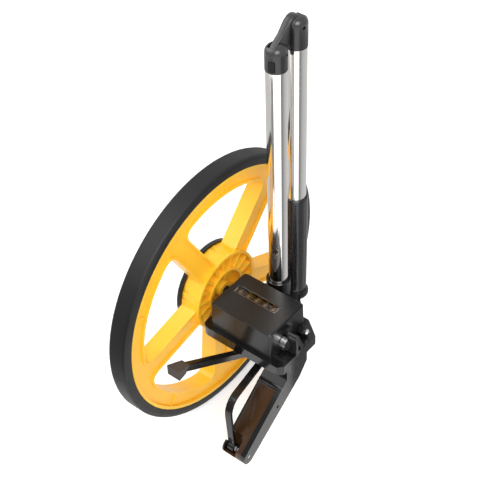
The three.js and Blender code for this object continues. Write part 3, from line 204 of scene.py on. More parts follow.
def finished(node, finish, edge, crease=32, steps=2):
    """A merged copy of a CAD node with softened edges, which stands for it."""
    source = frame["nodes"][node]
    piece = bpy.data.objects.new(node + "_finished", source.data.copy())
    bpy.context.scene.collection.objects.link(piece)
    shape = bmesh.new()
    shape.from_mesh(piece.data)
    bmesh.ops.remove_doubles(shape, verts=shape.verts, dist=NODE_MERGE_REACH)
    bmesh.ops.dissolve_limit(shape, angle_limit=FLAT_ANGLE, verts=shape.verts, edges=shape.edges)
    shape.to_mesh(piece.data)
    shape.free()
    piece.data.materials.clear()
    piece.data.materials.append(finish)
    soften(piece, edge, crease, steps)
    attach(piece, body_under(node))
    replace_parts(piece, node)


def soften(piece, edge, crease, steps):
    """Smooth faces, with sharp edges and a bevel where faces meet at more than the crease angle."""
    piece.data.polygons.foreach_set("use_smooth", [True] * len(piece.data.polygons))
    piece.data.set_sharp_from_angle(angle=math.radians(crease))
    bevel = piece.modifiers.new("softened edges", "BEVEL")
    bevel.width = edge * MM
    bevel.segments = steps
    bevel.limit_method = "ANGLE"
    bevel.angle_limit = math.radians(crease)
    bevel.harden_normals = True
    bevel.use_clamp_overlap = True


# Shader maths in plain Python


class Term:
    """A shader socket that takes part in Python arithmetic."""

    def __init__(self, finish, socket):
        self.finish = finish
        self.socket = socket

    def __add__(self, other):
        return self.finish.maths("ADD", self, other)

    def __mul__(self, other):
        return self.finish.maths("MULTIPLY", self, other)

    __radd__ = __add__
    __rmul__ = __mul__


class Finish:
    """A material, or the room's world, whose nodes are made by one method."""

    def __init__(self, name, holder=None):
        self.material = holder or bpy.data.materials.new(name)
        self.material.use_nodes = True
        self.tree = self.material.node_tree
        self.tree.nodes.clear()

    def node(self, kind, settings=None, inputs=None, output=0):
        """A node with its settings made first, then the values or links of its sockets."""
        node = self.tree.nodes.new(kind)
        for key, value in (settings or {}).items():
            if key == "stops":
                set_stops(node.color_ramp, value)
            else:
                setattr(node, key, value)
        for key, value in (inputs or {}).items():
            if isinstance(value, Term):
                self.tree.links.new(value.socket, node.inputs[key])
            else:
                node.inputs[key].default_value = value
        return Term(self, node.outputs[output] if len(node.outputs) else None)

    def parts(self, term, *names):
        """Several outputs of the node behind a term, by name."""
        return [Term(self, term.socket.node.outputs[name]) for name in names]

    def maths(self, operation, *terms):
        """A Math node's result."""
        return self.node("ShaderNodeMath", {"operation": operation}, dict(enumerate(terms)))

    def place(self):
        """Object coordinates."""
        return self.node("ShaderNodeTexCoord", output="Object")

    def noise(self, scale, detail=2.0, stretch=(1, 1, 1)):
        """Grain with features about 1 / scale metres long, stretched along the axes."""
        spot = self.node("ShaderNodeMapping", {}, {"Vector": self.place(), "Scale": stretch})
        return self.node("ShaderNodeTexNoise", {}, {"Vector": spot, "Scale": scale, "Detail": detail})

    def mix(self, share, first, second):
        """Colour between two colours, by a share."""
        inputs = {0: share, 6: first, 7: second}
        return self.node("ShaderNodeMix", {"data_type": "RGBA"}, inputs, output=2)

    def relief(self, height, depth, strength=1.0):
        """A normal that follows a height between 0 and 1, over a depth in millimetres."""
        inputs = {"Height": height, "Distance": depth * MM, "Strength": strength}
        return self.node("ShaderNodeBump", {}, inputs)

    def shade(self, **inputs):
        """The surface's shader; underscores stand for spaces in the socket names."""
        named = {key.replace("_", " "): value for key, value in inputs.items()}
        shader = self.node("ShaderNodeBsdfPrincipled", {}, named)
        self.node("ShaderNodeOutputMaterial", {}, {"Surface": shader})
        return self.material


def set_stops(ramp, stops):
    """A colour ramp's stops, from a list of (position, grey)."""
    while len(ramp.elements) < len(stops):
        ramp.elements.new(0.5)
    for element, (position, grey) in zip(ramp.elements, stops):
        element.position = position
        element.color = (grey, grey, grey, 1)


def colour(red, green, blue):
    """A colour as it looks on screen, 0 to 255, turned into light by the screen's standard curve."""
    share = np.array([red, green, blue]) / 255
    light = np.where(share <= 0.04045, share / 12.92, ((share + 0.055) / 1.055) ** 2.4)
    return (*light.tolist(), 1.0)


# Finishes


def yellow_plastic():
    """Glossy moulded plastic with faint flow clouds and a fine skin."""
    f = Finish("yellow plastic")
    clouds = f.noise(38, 3)
    grain = f.noise(2600, 2)
    tone = f.mix(clouds, colour(255, 184, 34), colour(255, 197, 54))
    return f.shade(
        Base_Color=tone,
        Roughness=0.26 + 0.14 * clouds,
        Normal=f.relief(grain, 0.02, 0.35),
        Subsurface_Weight=0.45,
        Subsurface_Radius=(1.0, 0.4, 0.06),
        Subsurface_Scale=0.006,
    )


RUB_CONTRAST = 8
RUB_GLOSS = 0.12
COOL_TINT = 1.04


def black_plastic(name, tone, roughness, grain_depth, shine=0.5, painted_reflection=None):
    """Moulded black plastic with a spark-eroded grain and slight wear in its gloss.

    The wear lightens the tone and dulls the gloss together. A painted reflection is a mask on the piece that
    turns the tone
    into brown streaks along its length: a painted reflection of the yellow wheel.
    """
    f = Finish(name)
    grain = f.noise(1900, 3)
    rubbed = f.noise(55, 4)
    dark, light = [colour(level, level, level * COOL_TINT) for level in (tone, tone + RUB_CONTRAST)]
    base = f.mix(rubbed, dark, light)
    if painted_reflection:
        # Brown streaks on the post's panel: painted reflection of the yellow wheel, mixed into the tone.
        streaks = f.noise(110, 3, (1, 0.08, 0.08))
        base = f.mix(painted_reflection(f), base, f.mix(streaks, colour(14, 11, 9), colour(84, 56, 30)))
    return f.shade(
        Base_Color=base,
        Roughness=roughness - RUB_GLOSS / 2 + RUB_GLOSS * rubbed,
        Specular_IOR_Level=shine,
        Normal=f.relief(grain, grain_depth, 0.5),
    )


PANEL_X = (85.0, 107.5)
PANEL_TOP = -46.0


def post_panel(f):
    """One on the sunk panel of the front post, where the yellow wheel's reflection is painted, and nothing
    elsewhere: limits in X and Z of the place.
    """
    x, z = f.parts(f.node("ShaderNodeSeparateXYZ", {}, {"Vector": f.place()}), "X", "Z")
    low, high = [DATUM.x + limit * MM for limit in PANEL_X]
    below = f.maths("LESS_THAN", z, DATUM.z + PANEL_TOP * MM)
    return f.maths("GREATER_THAN", x, low) * f.maths("LESS_THAN", x, high) * below


def foot_rubber():
    """Dry brownish rubber."""
    f = Finish("foot rubber")
    worn = f.noise(90, 4)
    return f.shade(
        Base_Color=f.mix(worn, colour(44, 36, 31), colour(70, 59, 51)),
        Roughness=0.5 + 0.2 * worn,
        Normal=f.relief(f.noise(1800, 3), 0.04, 0.5),
    )


def tyre_rubber():
    """Dull dark rubber with a fine mould texture and dusty patches."""
    f = Finish("tyre rubber")
    dust = f.noise(60, 5)
    grain = f.noise(1500, 3)
    return f.shade(
        Base_Color=f.mix(dust, colour(12, 12, 13), colour(22, 22, 23)),
        Roughness=0.42 + 0.2 * dust,
        Specular_IOR_Level=0.35,
        Normal=f.relief(grain, 0.05, 0.6),
    )


def grip_rubber():
    """Soft dark rubber with a dry sheen."""
    f = Finish("grip rubber")
    worn = f.noise(50, 4)
    grain = f.noise(2400, 2)
    return f.shade(
        Base_Color=f.mix(worn, colour(20, 20, 23), colour(29, 29, 33)),
        Roughness=0.22 + 0.1 * worn,
        Specular_IOR_Level=0.7,
        Normal=f.relief(grain, 0.03, 0.5),
    )


def polished_steel():
    """Polished tube with faint draw lines along it and thin smears."""
    f = Finish("polished steel")
    lines = f.noise(900, 3, (1, 1, 0.01))
    smears = f.noise(40, 4, (1, 1, 0.35))
    return f.shade(
        Base_Color=f.mix(smears, colour(243, 241, 238), colour(234, 231, 227)),
        Metallic=1.0,
        Roughness=0.07 + 0.07 * smears,
        Normal=f.relief(lines, 0.01, 0.35),
    )


def bare_metal(name, tone, roughness):
    """Plain or plated metal with slightly uneven gloss."""
    f = Finish(name)
    haze = f.noise(160, 3)
    return f.shade(
        Base_Color=colour(*tone),
        Metallic=1.0,
        Roughness=roughness + 0.1 * haze,
    )


def clear_plastic():
    """Clear window plate."""
    f = Finish("clear plastic")
    return f.shade(
        Base_Color=colour(226, 218, 208),
        Roughness=0.0,
        IOR=1.25,
        Transmission_Weight=1.0,
    )


def plain(name, tone, roughness):
    """One even colour, for pieces seen through the window or between others."""
    f = Finish(name)
    return f.shade(Base_Color=colour(*tone), Roughness=roughness)


YELLOW = yellow_plastic()
BLACK = black_plastic("black plastic", 14, 0.18, 0.012, 0.5)
# The base's plastic carries a painted reflection of the yellow wheel on the front post's panel.
BASE = black_plastic("base plastic", 14, 0.18, 0.012, 0.5, post_panel)
FOOT = foot_rubber()
MATT = black_plastic("matt black plastic", 18, 0.3, 0.03, 0.38)
KNUCKLE = black_plastic("knuckle plastic", 24, 0.3, 0.05, 0.7)
# Near black and dull: painted shade on the lock button, which sits sunk in its pocket.
PAINTED_RECESS_SHADE = plain("painted recess shade", (3, 3, 3), 0.9)
TYRE = tyre_rubber()
GRIP = grip_rubber()
STEEL = polished_steel()
PLAIN_STEEL = bare_metal("plain steel", (176, 176, 178), 0.28)
CHROME = bare_metal("chrome", (235, 235, 237), 0.06)
BRASS = bare_metal("brass", (196, 158, 84), 0.28)
CLEAR = clear_plastic()
DRUM = plain("drum plastic", (62, 46, 34), 0.45)
# Pale grey-brown: a painted highlight along the window lens's edge.
PAINTED_WINDOW_HIGHLIGHT = plain("painted window highlight", (128, 120, 110), 0.35)
NUMERAL = plain("numeral print", (188, 176, 160), 0.5)
GEAR = plain("gear plastic", (226, 220, 204), 0.45)


# CAD nodes that keep their own mesh


def dress_nodes():
    """Each node's finish by its slot in the record."""
    by_slot = {
        "yellow_plastic": YELLOW,
        "black_plastic": BLACK,
        "tyre_rubber": TYRE,
        "grip_rubber": GRIP,
        "polished_steel": STEEL,
        "plain_steel": PLAIN_STEEL,
        "chrome": CHROME,
        "brass": BRASS,
        "clear_plastic": CLEAR,
        "drum_plastic": DRUM,
        "gear_plastic": GEAR,
    }
    for entry in frame["record"]["subparts"]:
        node = frame["nodes"][entry["node"]]
        node.data.materials.clear()
        node.data.materials.append(by_slot[entry["material_slot"]])


# Wheel


TYRE_BORE = 148.3
TYRE_SHOULDER = [(4.2, 0.0), (3.6, 0.5), (1.1, 0.9), (0.0, 3.2)]
TYRE_RIB_FROM = 8.5
TYRE_RIB_TO = 14.0
TYRE_RIB_DEPTH = 1.2


def make_wheel():
    """The wheel's moulding, its tyre and the hub's parts.

    The tyre is a profile turned about the axle: a flat tread between two shoulders, which are (drop, inwards)
    pairs mirrored from side to side, and a rib in the rim's channel.
    """
    finished("wheel_moulding", YELLOW, 0.5, crease=28)
    low, high = span("tyre")
    outer, near, far = high[1], high[0], low[0]
    profile = [
        (TYRE_BORE, far),
        *[(outer - drop, far + inwards) for drop, inwards in TYRE_SHOULDER],
        *[(outer - drop, near - inwards) for drop, inwards in TYRE_SHOULDER[::-1]],
        (TYRE_BORE, near),
        (TYRE_BORE, near - TYRE_RIB_FROM),
        (TYRE_BORE - TYRE_RIB_DEPTH, near - TYRE_RIB_FROM),
        (TYRE_BORE - TYRE_RIB_DEPTH, near - TYRE_RIB_TO),
        (TYRE_BORE, near - TYRE_RIB_TO),
    ]
    tyre = turned_piece("tyre_finished", "x", profile, (0, 0), TYRE, "wheel", 256, 0.5)
    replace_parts(tyre, "tyre")
    finished("hub_cap", BLACK, 0.5)
    finished("axle_spacer", BLACK, 0.3)
    finished("axle_nut", PLAIN_STEEL, 0.4)


# Counter and base


def make_counter():
    """The counter's box and window, and the base with its levers."""
    finished("counter_housing", MATT, 0.7, crease=24, steps=3)
    finished("base_frame", BASE, 0.5, crease=26)
    finished("window_lens", CLEAR, 0.4)
    finished("pole_socket", BLACK, 0.5)
    finished("reset_lever", BLACK, 0.6, crease=38)
    finished("thumb_knob", BLACK, 0.2)
    finished("brake_lever", BLACK, 0.5)
    finished("stand_leg", BLACK, 0.5)
    make_foot()


FOOT_MIDDLE = 52.0
FOOT_NECK = ((-122.4, 26.4), (-128.2, 17.7), 5.0)
FOOT_SOLE = ((-141.2, 33.6), (-141.2, 20.2), 8.0)


def make_foot():
    """Wedge-shaped foot: straight lines from a rectangle round the leg to the larger rectangle of its sole.

    Each rectangle is its top and bottom edge in (Y, Z) and half its width in X.
    """
    rings = []
    for top, bottom, half in (FOOT_NECK, FOOT_SOLE):
        low, high = FOOT_MIDDLE - half, FOOT_MIDDLE + half
        rings.append([(low, *top), (high, *top), (high, *bottom), (low, *bottom)])
    faces = [*grid_faces(2, 4), (0, 1, 2, 3), (4, 5, 6, 7)]
    points = np.concatenate(rings)
    foot = mesh_piece("stand_foot_finished", points, faces, FOOT, "stand")
    soften(outward(foot), 0.5, 20, 3)
    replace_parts(foot, "stand_foot")


ROLL_X = (85.0, 107.5)
ROLL_AXIS = (-46.8, -46.4)
ROLL_RADIUS = 2.4


def make_roll():
    """The round bar across the top of the post's panel: a rectangle turned about its long side."""
    low, high = ROLL_X
    profile = [(0.0, low), (ROLL_RADIUS, low), (ROLL_RADIUS, high), (0.0, high)]
    turned_piece("post_roll", "x", profile, ROLL_AXIS, BLACK, "frame", 48, 0.4)


LENS_LIP = 1.8
LINE_WIDTH = 0.4
LINE_PROUD = 0.05


def make_window_line():
    """The pale line round the window, a painted highlight of the lens's edge: a flat frame between the lens's
    border and that border moved inwards.
    """
    low, high = span("window_lens")
    signs = np.array([(-1, -1), (1, -1), (1, 1), (-1, 1)])
    centre, half = (low + high)[:2] / 2, (high - low)[:2] / 2
    rings = [centre + signs * (half - step) for step in (LENS_LIP, LENS_LIP + LINE_WIDTH)]
    loops = [(rings[0], 0.0), (rings[0], LINE_PROUD), (rings[1], LINE_PROUD), (rings[1], 0.0)]
    points = np.concatenate([np.c_[ring, np.full(4, high[2] + rise)] for ring, rise in loops])
    faces = grid_faces(4, 4, close_rows=True)
    outward(mesh_piece("painted_window_highlight", points, faces, PAINTED_WINDOW_HIGHLIGHT, "frame", False))


NUMERAL_HEIGHT = 4.0
NUMERAL_WIDTH = 4.4
NUMERAL_PROUD = 0.05
DRUM_BORE = 1.75
DRUM_COUNT = 5


def numeral(figure):
    """One figure as flat points, centred and one unit tall, and its faces."""
    curve = bpy.data.curves.new("figure", "FONT")
    curve.body = str(figure)
    curve.resolution_u = 3
    holder = bpy.data.objects.new("figure", curve)
    bpy.context.scene.collection.objects.link(holder)
    bpy.context.view_layer.update()
    graph = bpy.context.evaluated_depsgraph_get()
    mesh = bpy.data.meshes.new_from_object(holder.evaluated_get(graph))
    points = np.array([v.co[:2] for v in mesh.vertices])
    faces = [list(p.vertices) for p in mesh.polygons]
    bpy.data.objects.remove(holder)
    low, high = points.min(0), points.max(0)
    return (points - (low + high) / 2) / (high[1] - low[1]), faces


def make_drums():
    """Drums with ten figures each, bent round the drum.

    A figure's point (u, v) goes to the angle v * height / radius + a tenth of a turn for each figure before it,
    on a radius just over the drum's, and to u * width along the drum.
    """
    figures = [numeral(figure) for figure in range(10)]
    for k in range(1, DRUM_COUNT + 1):
        node = f"digit_drum_{k}"
        body = body_under(node)
        low, high = span(node)
        centre = (low + high) / 2
        radius = (high[2] - low[2]) / 2
        lifted = radius + NUMERAL_PROUD
        profile = [(DRUM_BORE, low[0]), (radius, low[0]), (radius, high[0]), (DRUM_BORE, high[0])]
        drum = turned_piece(f"drum_{k}", "x", profile, centre[1:], DRUM, body, 80, 0.4)
        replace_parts(drum, node)
        points, faces, count = [], [], 0
        for figure, (flat, figure_faces) in enumerate(figures):
            turn = flat[:, 1] * NUMERAL_HEIGHT / radius + figure * math.pi / 5
            x = centre[0] - flat[:, 0] * NUMERAL_WIDTH
            y = centre[1] - lifted * np.sin(turn)
            z = centre[2] + lifted * np.cos(turn)
            points.append(np.stack([x, y, z], 1))
            faces += [[i + count for i in face] for face in figure_faces]
            count += len(flat)
        points = np.concatenate(points)
        mesh_piece(f"drum_{k}_figures", points, faces, NUMERAL, body, False)


# Poles


TUBE_WALL = 1.2


def make_poles():
    """Both tubes, each its wall's rectangle turned about the tube's axis, with the elbow and the grip."""
    for node, body in (("lower_tube", "frame"), ("upper_tube", "upper_pole")):
        low, high = span(node)
        centre = (low + high) / 2
        radius = (high[0] - low[0]) / 2
        bore = radius - TUBE_WALL
        profile = [(bore, low[2]), (radius, low[2]), (radius, high[2]), (bore, high[2])]
        name = node + "_finished"
        tube = turned_piece(name, "z", profile, centre[:2], STEEL, body, 96, 0.25)
        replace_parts(tube, node)
    make_elbow()
    make_grip()


ELBOW_GAP = 0.4
LINK_LEFT_LOW = -5.4
LINK_LEFT_HIGH = -8.6
LINK_RIGHT = 1.8
LINK_LOW_ROUND = 9.0
LINK_HIGH_ROUND = 10.2
KNUCKLE_SHOULDER = 7.5
KNUCKLE_DROP = 2.6
LINK_EDGE = 1.8
LINK_SPREAD_FROM = 0.38
LINK_SPREAD_OVER = 0.5
LINK_EDGE_GROWTH = 1.2
HALF_LAP = -14.0
PIN_HOLE = 1.75
PIN_HOLE_STEPS = 24
CUT_REACH = 20
ROOM_REACH = 40
BUTTON_POCKET_FRONT = 3
BUTTON_POCKET_BACK = 2.5


def make_elbow():
    """Two knuckles with barrel tops, the link that joins them, and the lock button."""
    pin_low, pin_high = [sum(span(node)) / 2 for node in ("lower_elbow_pin", "upper_elbow_pin")]
    make_link(pin_low[1:], pin_high[1:])
    reach = pin_high[1:] - pin_low[1:]
    reach = reach / np.linalg.norm(reach)
    slot = (LINK_LEFT_LOW - ELBOW_GAP, LINK_RIGHT + ELBOW_GAP)
    half_lap = (HALF_LAP, LINK_RIGHT + ELBOW_GAP)
    make_knuckle("lower_knuckle", pin_low, LINK_LOW_ROUND + ELBOW_GAP, slot, reach, True)
    make_knuckle("upper_knuckle", pin_high, LINK_HIGH_ROUND + ELBOW_GAP, half_lap, -reach, False)
    # The lock button takes the painted shade of its pocket.
    finished("elbow_lock_button", PAINTED_RECESS_SHADE, 0.4)


def make_link(low, high):
    """A bar lofted from pin to pin: round ends, and a left side that spreads towards the upper pin.

    Stations along the bar crowd towards its ends as a cosine does. Half the height at a station is that of the
    end circle past a pin, sqrt(round^2 - distance^2), and a straight line in between. Each station's section is
    a rectangle with round corners: its corner's centre plus the corner's radius times (cos, sin).
    """
    axis = high - low
    length = np.linalg.norm(axis)
    axis = axis / length
    across = np.array([-axis[1], axis[0]])
    turn = np.linspace(0, math.pi, 61)[1:-1]
    middle_station = (length + LINK_HIGH_ROUND - LINK_LOW_ROUND) / 2
    half_length = (length + LINK_HIGH_ROUND + LINK_LOW_ROUND) / 2
    station = middle_station - half_length * np.cos(turn)
    low_round = np.sqrt(np.clip(LINK_LOW_ROUND**2 - station**2, 0, None))
    high_round = np.sqrt(np.clip(LINK_HIGH_ROUND**2 - (station - length) ** 2, 0, None))
    between = LINK_LOW_ROUND + (LINK_HIGH_ROUND - LINK_LOW_ROUND) * station / length
    half = np.where(station < 0, low_round, np.where(station > length, high_round, between))
    share = np.clip((station / length - LINK_SPREAD_FROM) / LINK_SPREAD_OVER, 0, 1)
    left = LINK_LEFT_LOW + (LINK_LEFT_HIGH - LINK_LEFT_LOW) * share
    right = LINK_RIGHT + 0 * share
    corner = np.linspace(0, 2 * math.pi, 48, endpoint=False) + math.pi / 48
    soft = np.minimum(LINK_EDGE * (1 + LINK_EDGE_GROWTH * share), 0.9 * half)[:, None]
    side_x = np.sign(np.cos(corner))[None, :]
    side_h = np.sign(np.sin(corner))[None, :]
    middle_x, half_x = (left + right)[:, None] / 2, (right - left)[:, None] / 2
    x = middle_x + side_x * (half_x - soft) + soft * np.cos(corner)
    h = side_h * (half[:, None] - soft) + soft * np.sin(corner)
    centre_x = (sum(span("lower_tube")) / 2)[0]
    y = low[0] + station[:, None] * axis[0] + h * across[0]
    z = low[1] + station[:, None] * axis[1] + h * across[1]
    points = np.stack([centre_x + x, y, z], -1).reshape(-1, 3)
    faces = grid_faces(len(station), len(corner))
    last = (len(station) - 1) * len(corner)
    faces += [list(range(len(corner)))[::-1], list(range(last, last + len(corner)))]
    link = mesh_piece("elbow_link_finished", points, faces, KNUCKLE, "link")
    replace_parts(outward(link), "elbow_link")
    link.data.set_sharp_from_angle(angle=math.radians(50))


def hull(points):
    """The convex outline round flat points: the lower chain and the upper chain of left turns alone."""
    points = sorted(map(tuple, points))
    outline = []
    for run in (points, points[::-1]):
        start = len(outline)
        for point in run:
            while len(outline) > start + 1 and turn_of(outline[-2], outline[-1], point) <= 0:
                outline.pop()
            outline.append(point)
        outline.pop()
    return outline


def turn_of(a, b, c):
    """More than nothing where the way from a over b to c turns left."""
    return (b[0] - a[0]) * (c[1] - a[1]) - (b[1] - a[1]) * (c[0] - a[0])


def ring_points(centre, radius, steps=72):
    """A circle's points: centre + radius * (cos, sin)."""
    angle = np.linspace(0, 2 * math.pi, steps, endpoint=False)
    return [(centre[0] + radius * math.cos(t), centre[1] + radius * math.sin(t)) for t in angle]


def tool(outline, x0, x1):
    """A cutting prism: an outline in Y and Z carried from x0 to x1."""
    count = len(outline)
    points = [(x, y, z) for x in (x0, x1) for y, z in outline]
    faces = [[i, (i + 1) % count, (i + 1) % count + count, i + count] for i in range(count)]
    faces += [list(range(count))[::-1], list(range(count, 2 * count))]
    mesh = bpy.data.meshes.new("tool")
    mesh.from_pydata((np.array(points) * MM + np.array(DATUM)).tolist(), [], faces)
    body = bpy.data.objects.new("tool", mesh)
    bpy.context.scene.collection.objects.link(body)
    return outward(body)


def carved(piece, operation, body):
    """One boolean with a tool, made part of the piece's mesh; the tool is then removed."""
    change = piece.modifiers.new("carve", "BOOLEAN")
    change.operation, change.solver, change.object = operation, "EXACT", body
    graph = bpy.context.evaluated_depsgraph_get()
    shape = bpy.data.meshes.new_from_object(piece.evaluated_get(graph))
    piece.modifiers.remove(change)
    piece.data = shape
    bpy.data.objects.remove(body)


def make_knuckle(node, pin, room, lap, reach, has_button):
    """A knuckle cut away where the link lies and swings.

    Its blank is a cylinder on the tube under a barrel top. Cut from it, over the lap's width in X, are a circle
    of the link's room round the pin and the straight way that the link takes from there, then the pin's hole.
    """
    centre = sum(span(node)) / 2
    piece = knuckle_blank(node, pin)
    point = np.array(pin[1:])
    side = np.sign(reach[0])
    under = point + np.array([reach[1], -reach[0]]) * side * room
    behind = point[0] - side * room
    way = [
        tuple(under),
        tuple(under + reach * ROOM_REACH),
        tuple(point),
        (point[0] + side * ROOM_REACH, point[1] + ROOM_REACH),
        (behind, point[1] + ROOM_REACH),
        (behind, point[1]),
    ]
    for outline in (ring_points(point, room), way):
        carved(piece, "DIFFERENCE", tool(hull(outline), centre[0] + lap[0], centre[0] + lap[1]))
    hole = hull(ring_points(point, PIN_HOLE, PIN_HOLE_STEPS))
    carved(piece, "DIFFERENCE", tool(hole, centre[0] - CUT_REACH, centre[0] + CUT_REACH))
    if has_button:
        low, high = span("elbow_lock_button")
        front, back = low[1] - BUTTON_POCKET_FRONT, high[1] + BUTTON_POCKET_BACK
        bottom, top = low[2] - ELBOW_GAP, high[2] + ELBOW_GAP
        pocket = [(front, bottom), (back, bottom), (back, top), (front, top)]
        carved(piece, "DIFFERENCE", tool(pocket, low[0] - ELBOW_GAP, high[0] + ELBOW_GAP))
    soften(piece, 0.7, 35, 3)
    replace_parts(piece, node)


CROWN_GROWTH = 0.6


def knuckle_blank(node, pin):
    """A cylinder with a rounded shoulder, kept only inside a barrel that lies along X over it.

    The shoulder is a quarter circle: (radius - shoulder * (1 - cos), top - shoulder * (1 - sin)).
    """
    low, high = span(node)
    centre, radius = (low + high) / 2, (high[0] - low[0]) / 2
    base = span(node.replace("knuckle", "tube"))[1][2] + 0.3
    axis_z = pin[2] - KNUCKLE_DROP
    top, shoulder = axis_z + radius, KNUCKLE_SHOULDER
    bend = np.linspace(0, math.pi / 2, 10)
    crown = [(radius - shoulder * (1 - math.cos(t)), top - shoulder * (1 - math.sin(t))) for t in bend]
    profile = [(0.0, base), (radius, base), *crown, (0.0, top)]
    points, faces = turned("z", profile, centre[:2], 96), grid_faces(len(profile), 96)
    name, body = node + "_finished", body_under(node)
    piece = outward(mesh_piece(name, points, faces, KNUCKLE, body))
    y = centre[1]
    barrel = ring_points((y, axis_z), radius + CROWN_GROWTH)
    barrel += [(y - radius - 1, base - 1), (y + radius + 1, base - 1)]
    barrel += [(y - radius, axis_z), (y + radius, axis_z)]
    carved(piece, "INTERSECT", tool(hull(barrel), centre[0] - CUT_REACH, centre[0] + CUT_REACH))
    return piece


GRIP_RADIUS = 11.7
GRIP_SWELL = 0.7
GRIP_BORE = 10.95
END_ROUND = 0.9
END_REACH = 0.7
FLUTES = 12
FLUTE_DEPTH = 0.28
FLUTE_FADE = 9


def make_grip():
    """Grip sleeve with shallow flutes that fade out at both ends, and its end cap.

    The radius is the plain radius, plus a swell that grows as share^0.7 up to its full size, less a rounding
    that falls as exp(-distance to the end), less flutes as deep as (0.5 + 0.5 cos(12 angle))^3.
    """
    low, high = span("grip_sleeve")
    centre = (low + high) / 2
    height = np.linspace(low[2], high[2], 90)
    share = (height - low[2]) / (high[2] - low[2])
    swell = GRIP_RADIUS + GRIP_SWELL * np.clip(share * 1.8, 0, 1) ** 0.7
    edge = np.minimum(height - low[2], high[2] - height)
    radius = swell - END_ROUND * np.exp(-edge / END_REACH)
    angle = np.linspace(0, 2 * math.pi, 144, endpoint=False)
    depth = FLUTE_DEPTH * np.clip(edge / FLUTE_FADE, 0, 1)
    flute = 0.5 + 0.5 * np.cos(FLUTES * angle)
    outer = radius[:, None] - depth[:, None] * flute[None, :] ** 3
    rows = np.concatenate([outer, np.full((2, len(angle)), GRIP_BORE)])
    levels = np.concatenate([height, [high[2]], [low[2]]])
    x = centre[0] + rows * np.cos(angle)
    y = centre[1] + rows * np.sin(angle)
    z = levels[:, None] + 0 * angle
    points = np.stack([x, y, z], -1).reshape(-1, 3)
    faces = grid_faces(len(levels), len(angle), close_rows=True)
    grip = mesh_piece("grip_finished", points, faces, GRIP, "upper_pole")
    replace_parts(outward(grip), "grip_sleeve")
    finished("grip_pommel", BLACK, 0.8, steps=3)


# Stage: camera, floor, room light and cards

CAMERA_AZIMUTH = math.radians(40.65)
CAMERA_ELEVATION = math.radians(42.55)
CAMERA_ROLL = math.radians(2.40)
CAMERA_SHIFT = (-16.7, -53.9)
CAMERA_DISTANCE = 1256.0
CAMERA_LENS = 86.03
CAMERA_SENSOR = 36
CAMERA_CLIP = 0.05


def make_camera():
    """The photograph's view: turned round Z, raised, then rolled.

    The camera stands back from the datum by the distance and is shifted sideways and upwards in its own plane.
    """
    sin_a, cos_a = math.sin(CAMERA_AZIMUTH), math.cos(CAMERA_AZIMUTH)
    sin_e, cos_e = math.sin(CAMERA_ELEVATION), math.cos(CAMERA_ELEVATION)
    back = Vector((sin_a * cos_e, -cos_a * cos_e, sin_e))
    right = Vector((cos_a, sin_a, 0))
    up = back.cross(right)
    cos_r, sin_r = math.cos(CAMERA_ROLL), math.sin(CAMERA_ROLL)
    right, up = right * cos_r - up * sin_r, right * sin_r + up * cos_r
    where = back * CAMERA_DISTANCE - right * CAMERA_SHIFT[0] - up * CAMERA_SHIFT[1]
    lens = bpy.data.cameras.new("camera")
    lens.lens = CAMERA_LENS
    lens.sensor_width = CAMERA_SENSOR
    lens.clip_start = CAMERA_CLIP
    camera = bpy.data.objects.new("camera", lens)
    bpy.context.scene.collection.objects.link(camera)
    turn = Matrix((right, up, back)).transposed().to_4x4()
    camera.matrix_world = Matrix.Translation(where * MM + DATUM) @ turn
    bpy.context.scene.camera = camera


def flat_quad(name, size, place, toward, material):
    """A rectangular card at a place, facing a direction."""
    mesh = bpy.data.meshes.new(name)
    half_x, half_y = size[0] / 2, size[1] / 2
    corners = [(-half_x, -half_y, 0), (half_x, -half_y, 0), (half_x, half_y, 0), (-half_x, half_y, 0)]
    mesh.from_pydata(corners, [], [(0, 1, 2, 3)])
    mesh.materials.append(material)
    card = bpy.data.objects.new(name, mesh)
    bpy.context.scene.collection.objects.link(card)
    card.location = place
    card.rotation_mode = "QUATERNION"
    card.rotation_quaternion = Vector(toward).to_track_quat("Z", "Y")
    return card


def seen_by(f):
    """One for a ray from the camera, from a gloss and through something clear."""
    return f.parts(f.node("ShaderNodeLightPath"), "Is Camera Ray", "Is Glossy Ray", "Is Transmission Ray")


def floor_material():
    """Pale floor: lit white for the camera and for gloss, still taking the shadow."""
    f = Finish("floor")
    camera, gloss, through = seen_by(f)
    return f.shade(
        Base_Color=colour(236, 236, 236),
        Roughness=0.9,
        Specular_IOR_Level=0.0,
        Emission_Color=(1, 1, 1, 1),
        Emission_Strength=0.42 * camera + 0.3 * gloss + 0.3 * through,
    )


TENT_CENTRE = (45.3, 38.0)
TENT_BRIGHT = 1.2
TENT_SIDE = [(-11, 0.2), (0, 0.27), (14, 0.38), (30, 0.53), (60, 0.62), (100, 0.68)]
TENT_LEFT = [(100, 0.68), (140, 0.62), (250, 0.62)]
TENT_STREAK = [(252, 0.3), (276, 0.3)]
TENT_CARDS = (
    ("tent_side", 105, (0, 430), TENT_SIDE),
    ("tent_left", 270, (0, 310), TENT_LEFT),
    ("tent_streak", 270, (90, 310), TENT_STREAK),
)


def make_tent():
    """Cards round the poles, seen in gloss alone: a grey ramp at one side, a grey at the other and a streak."""
    for name, radius, heights, levels in TENT_CARDS:
        tent_card(name, radius, heights, levels)


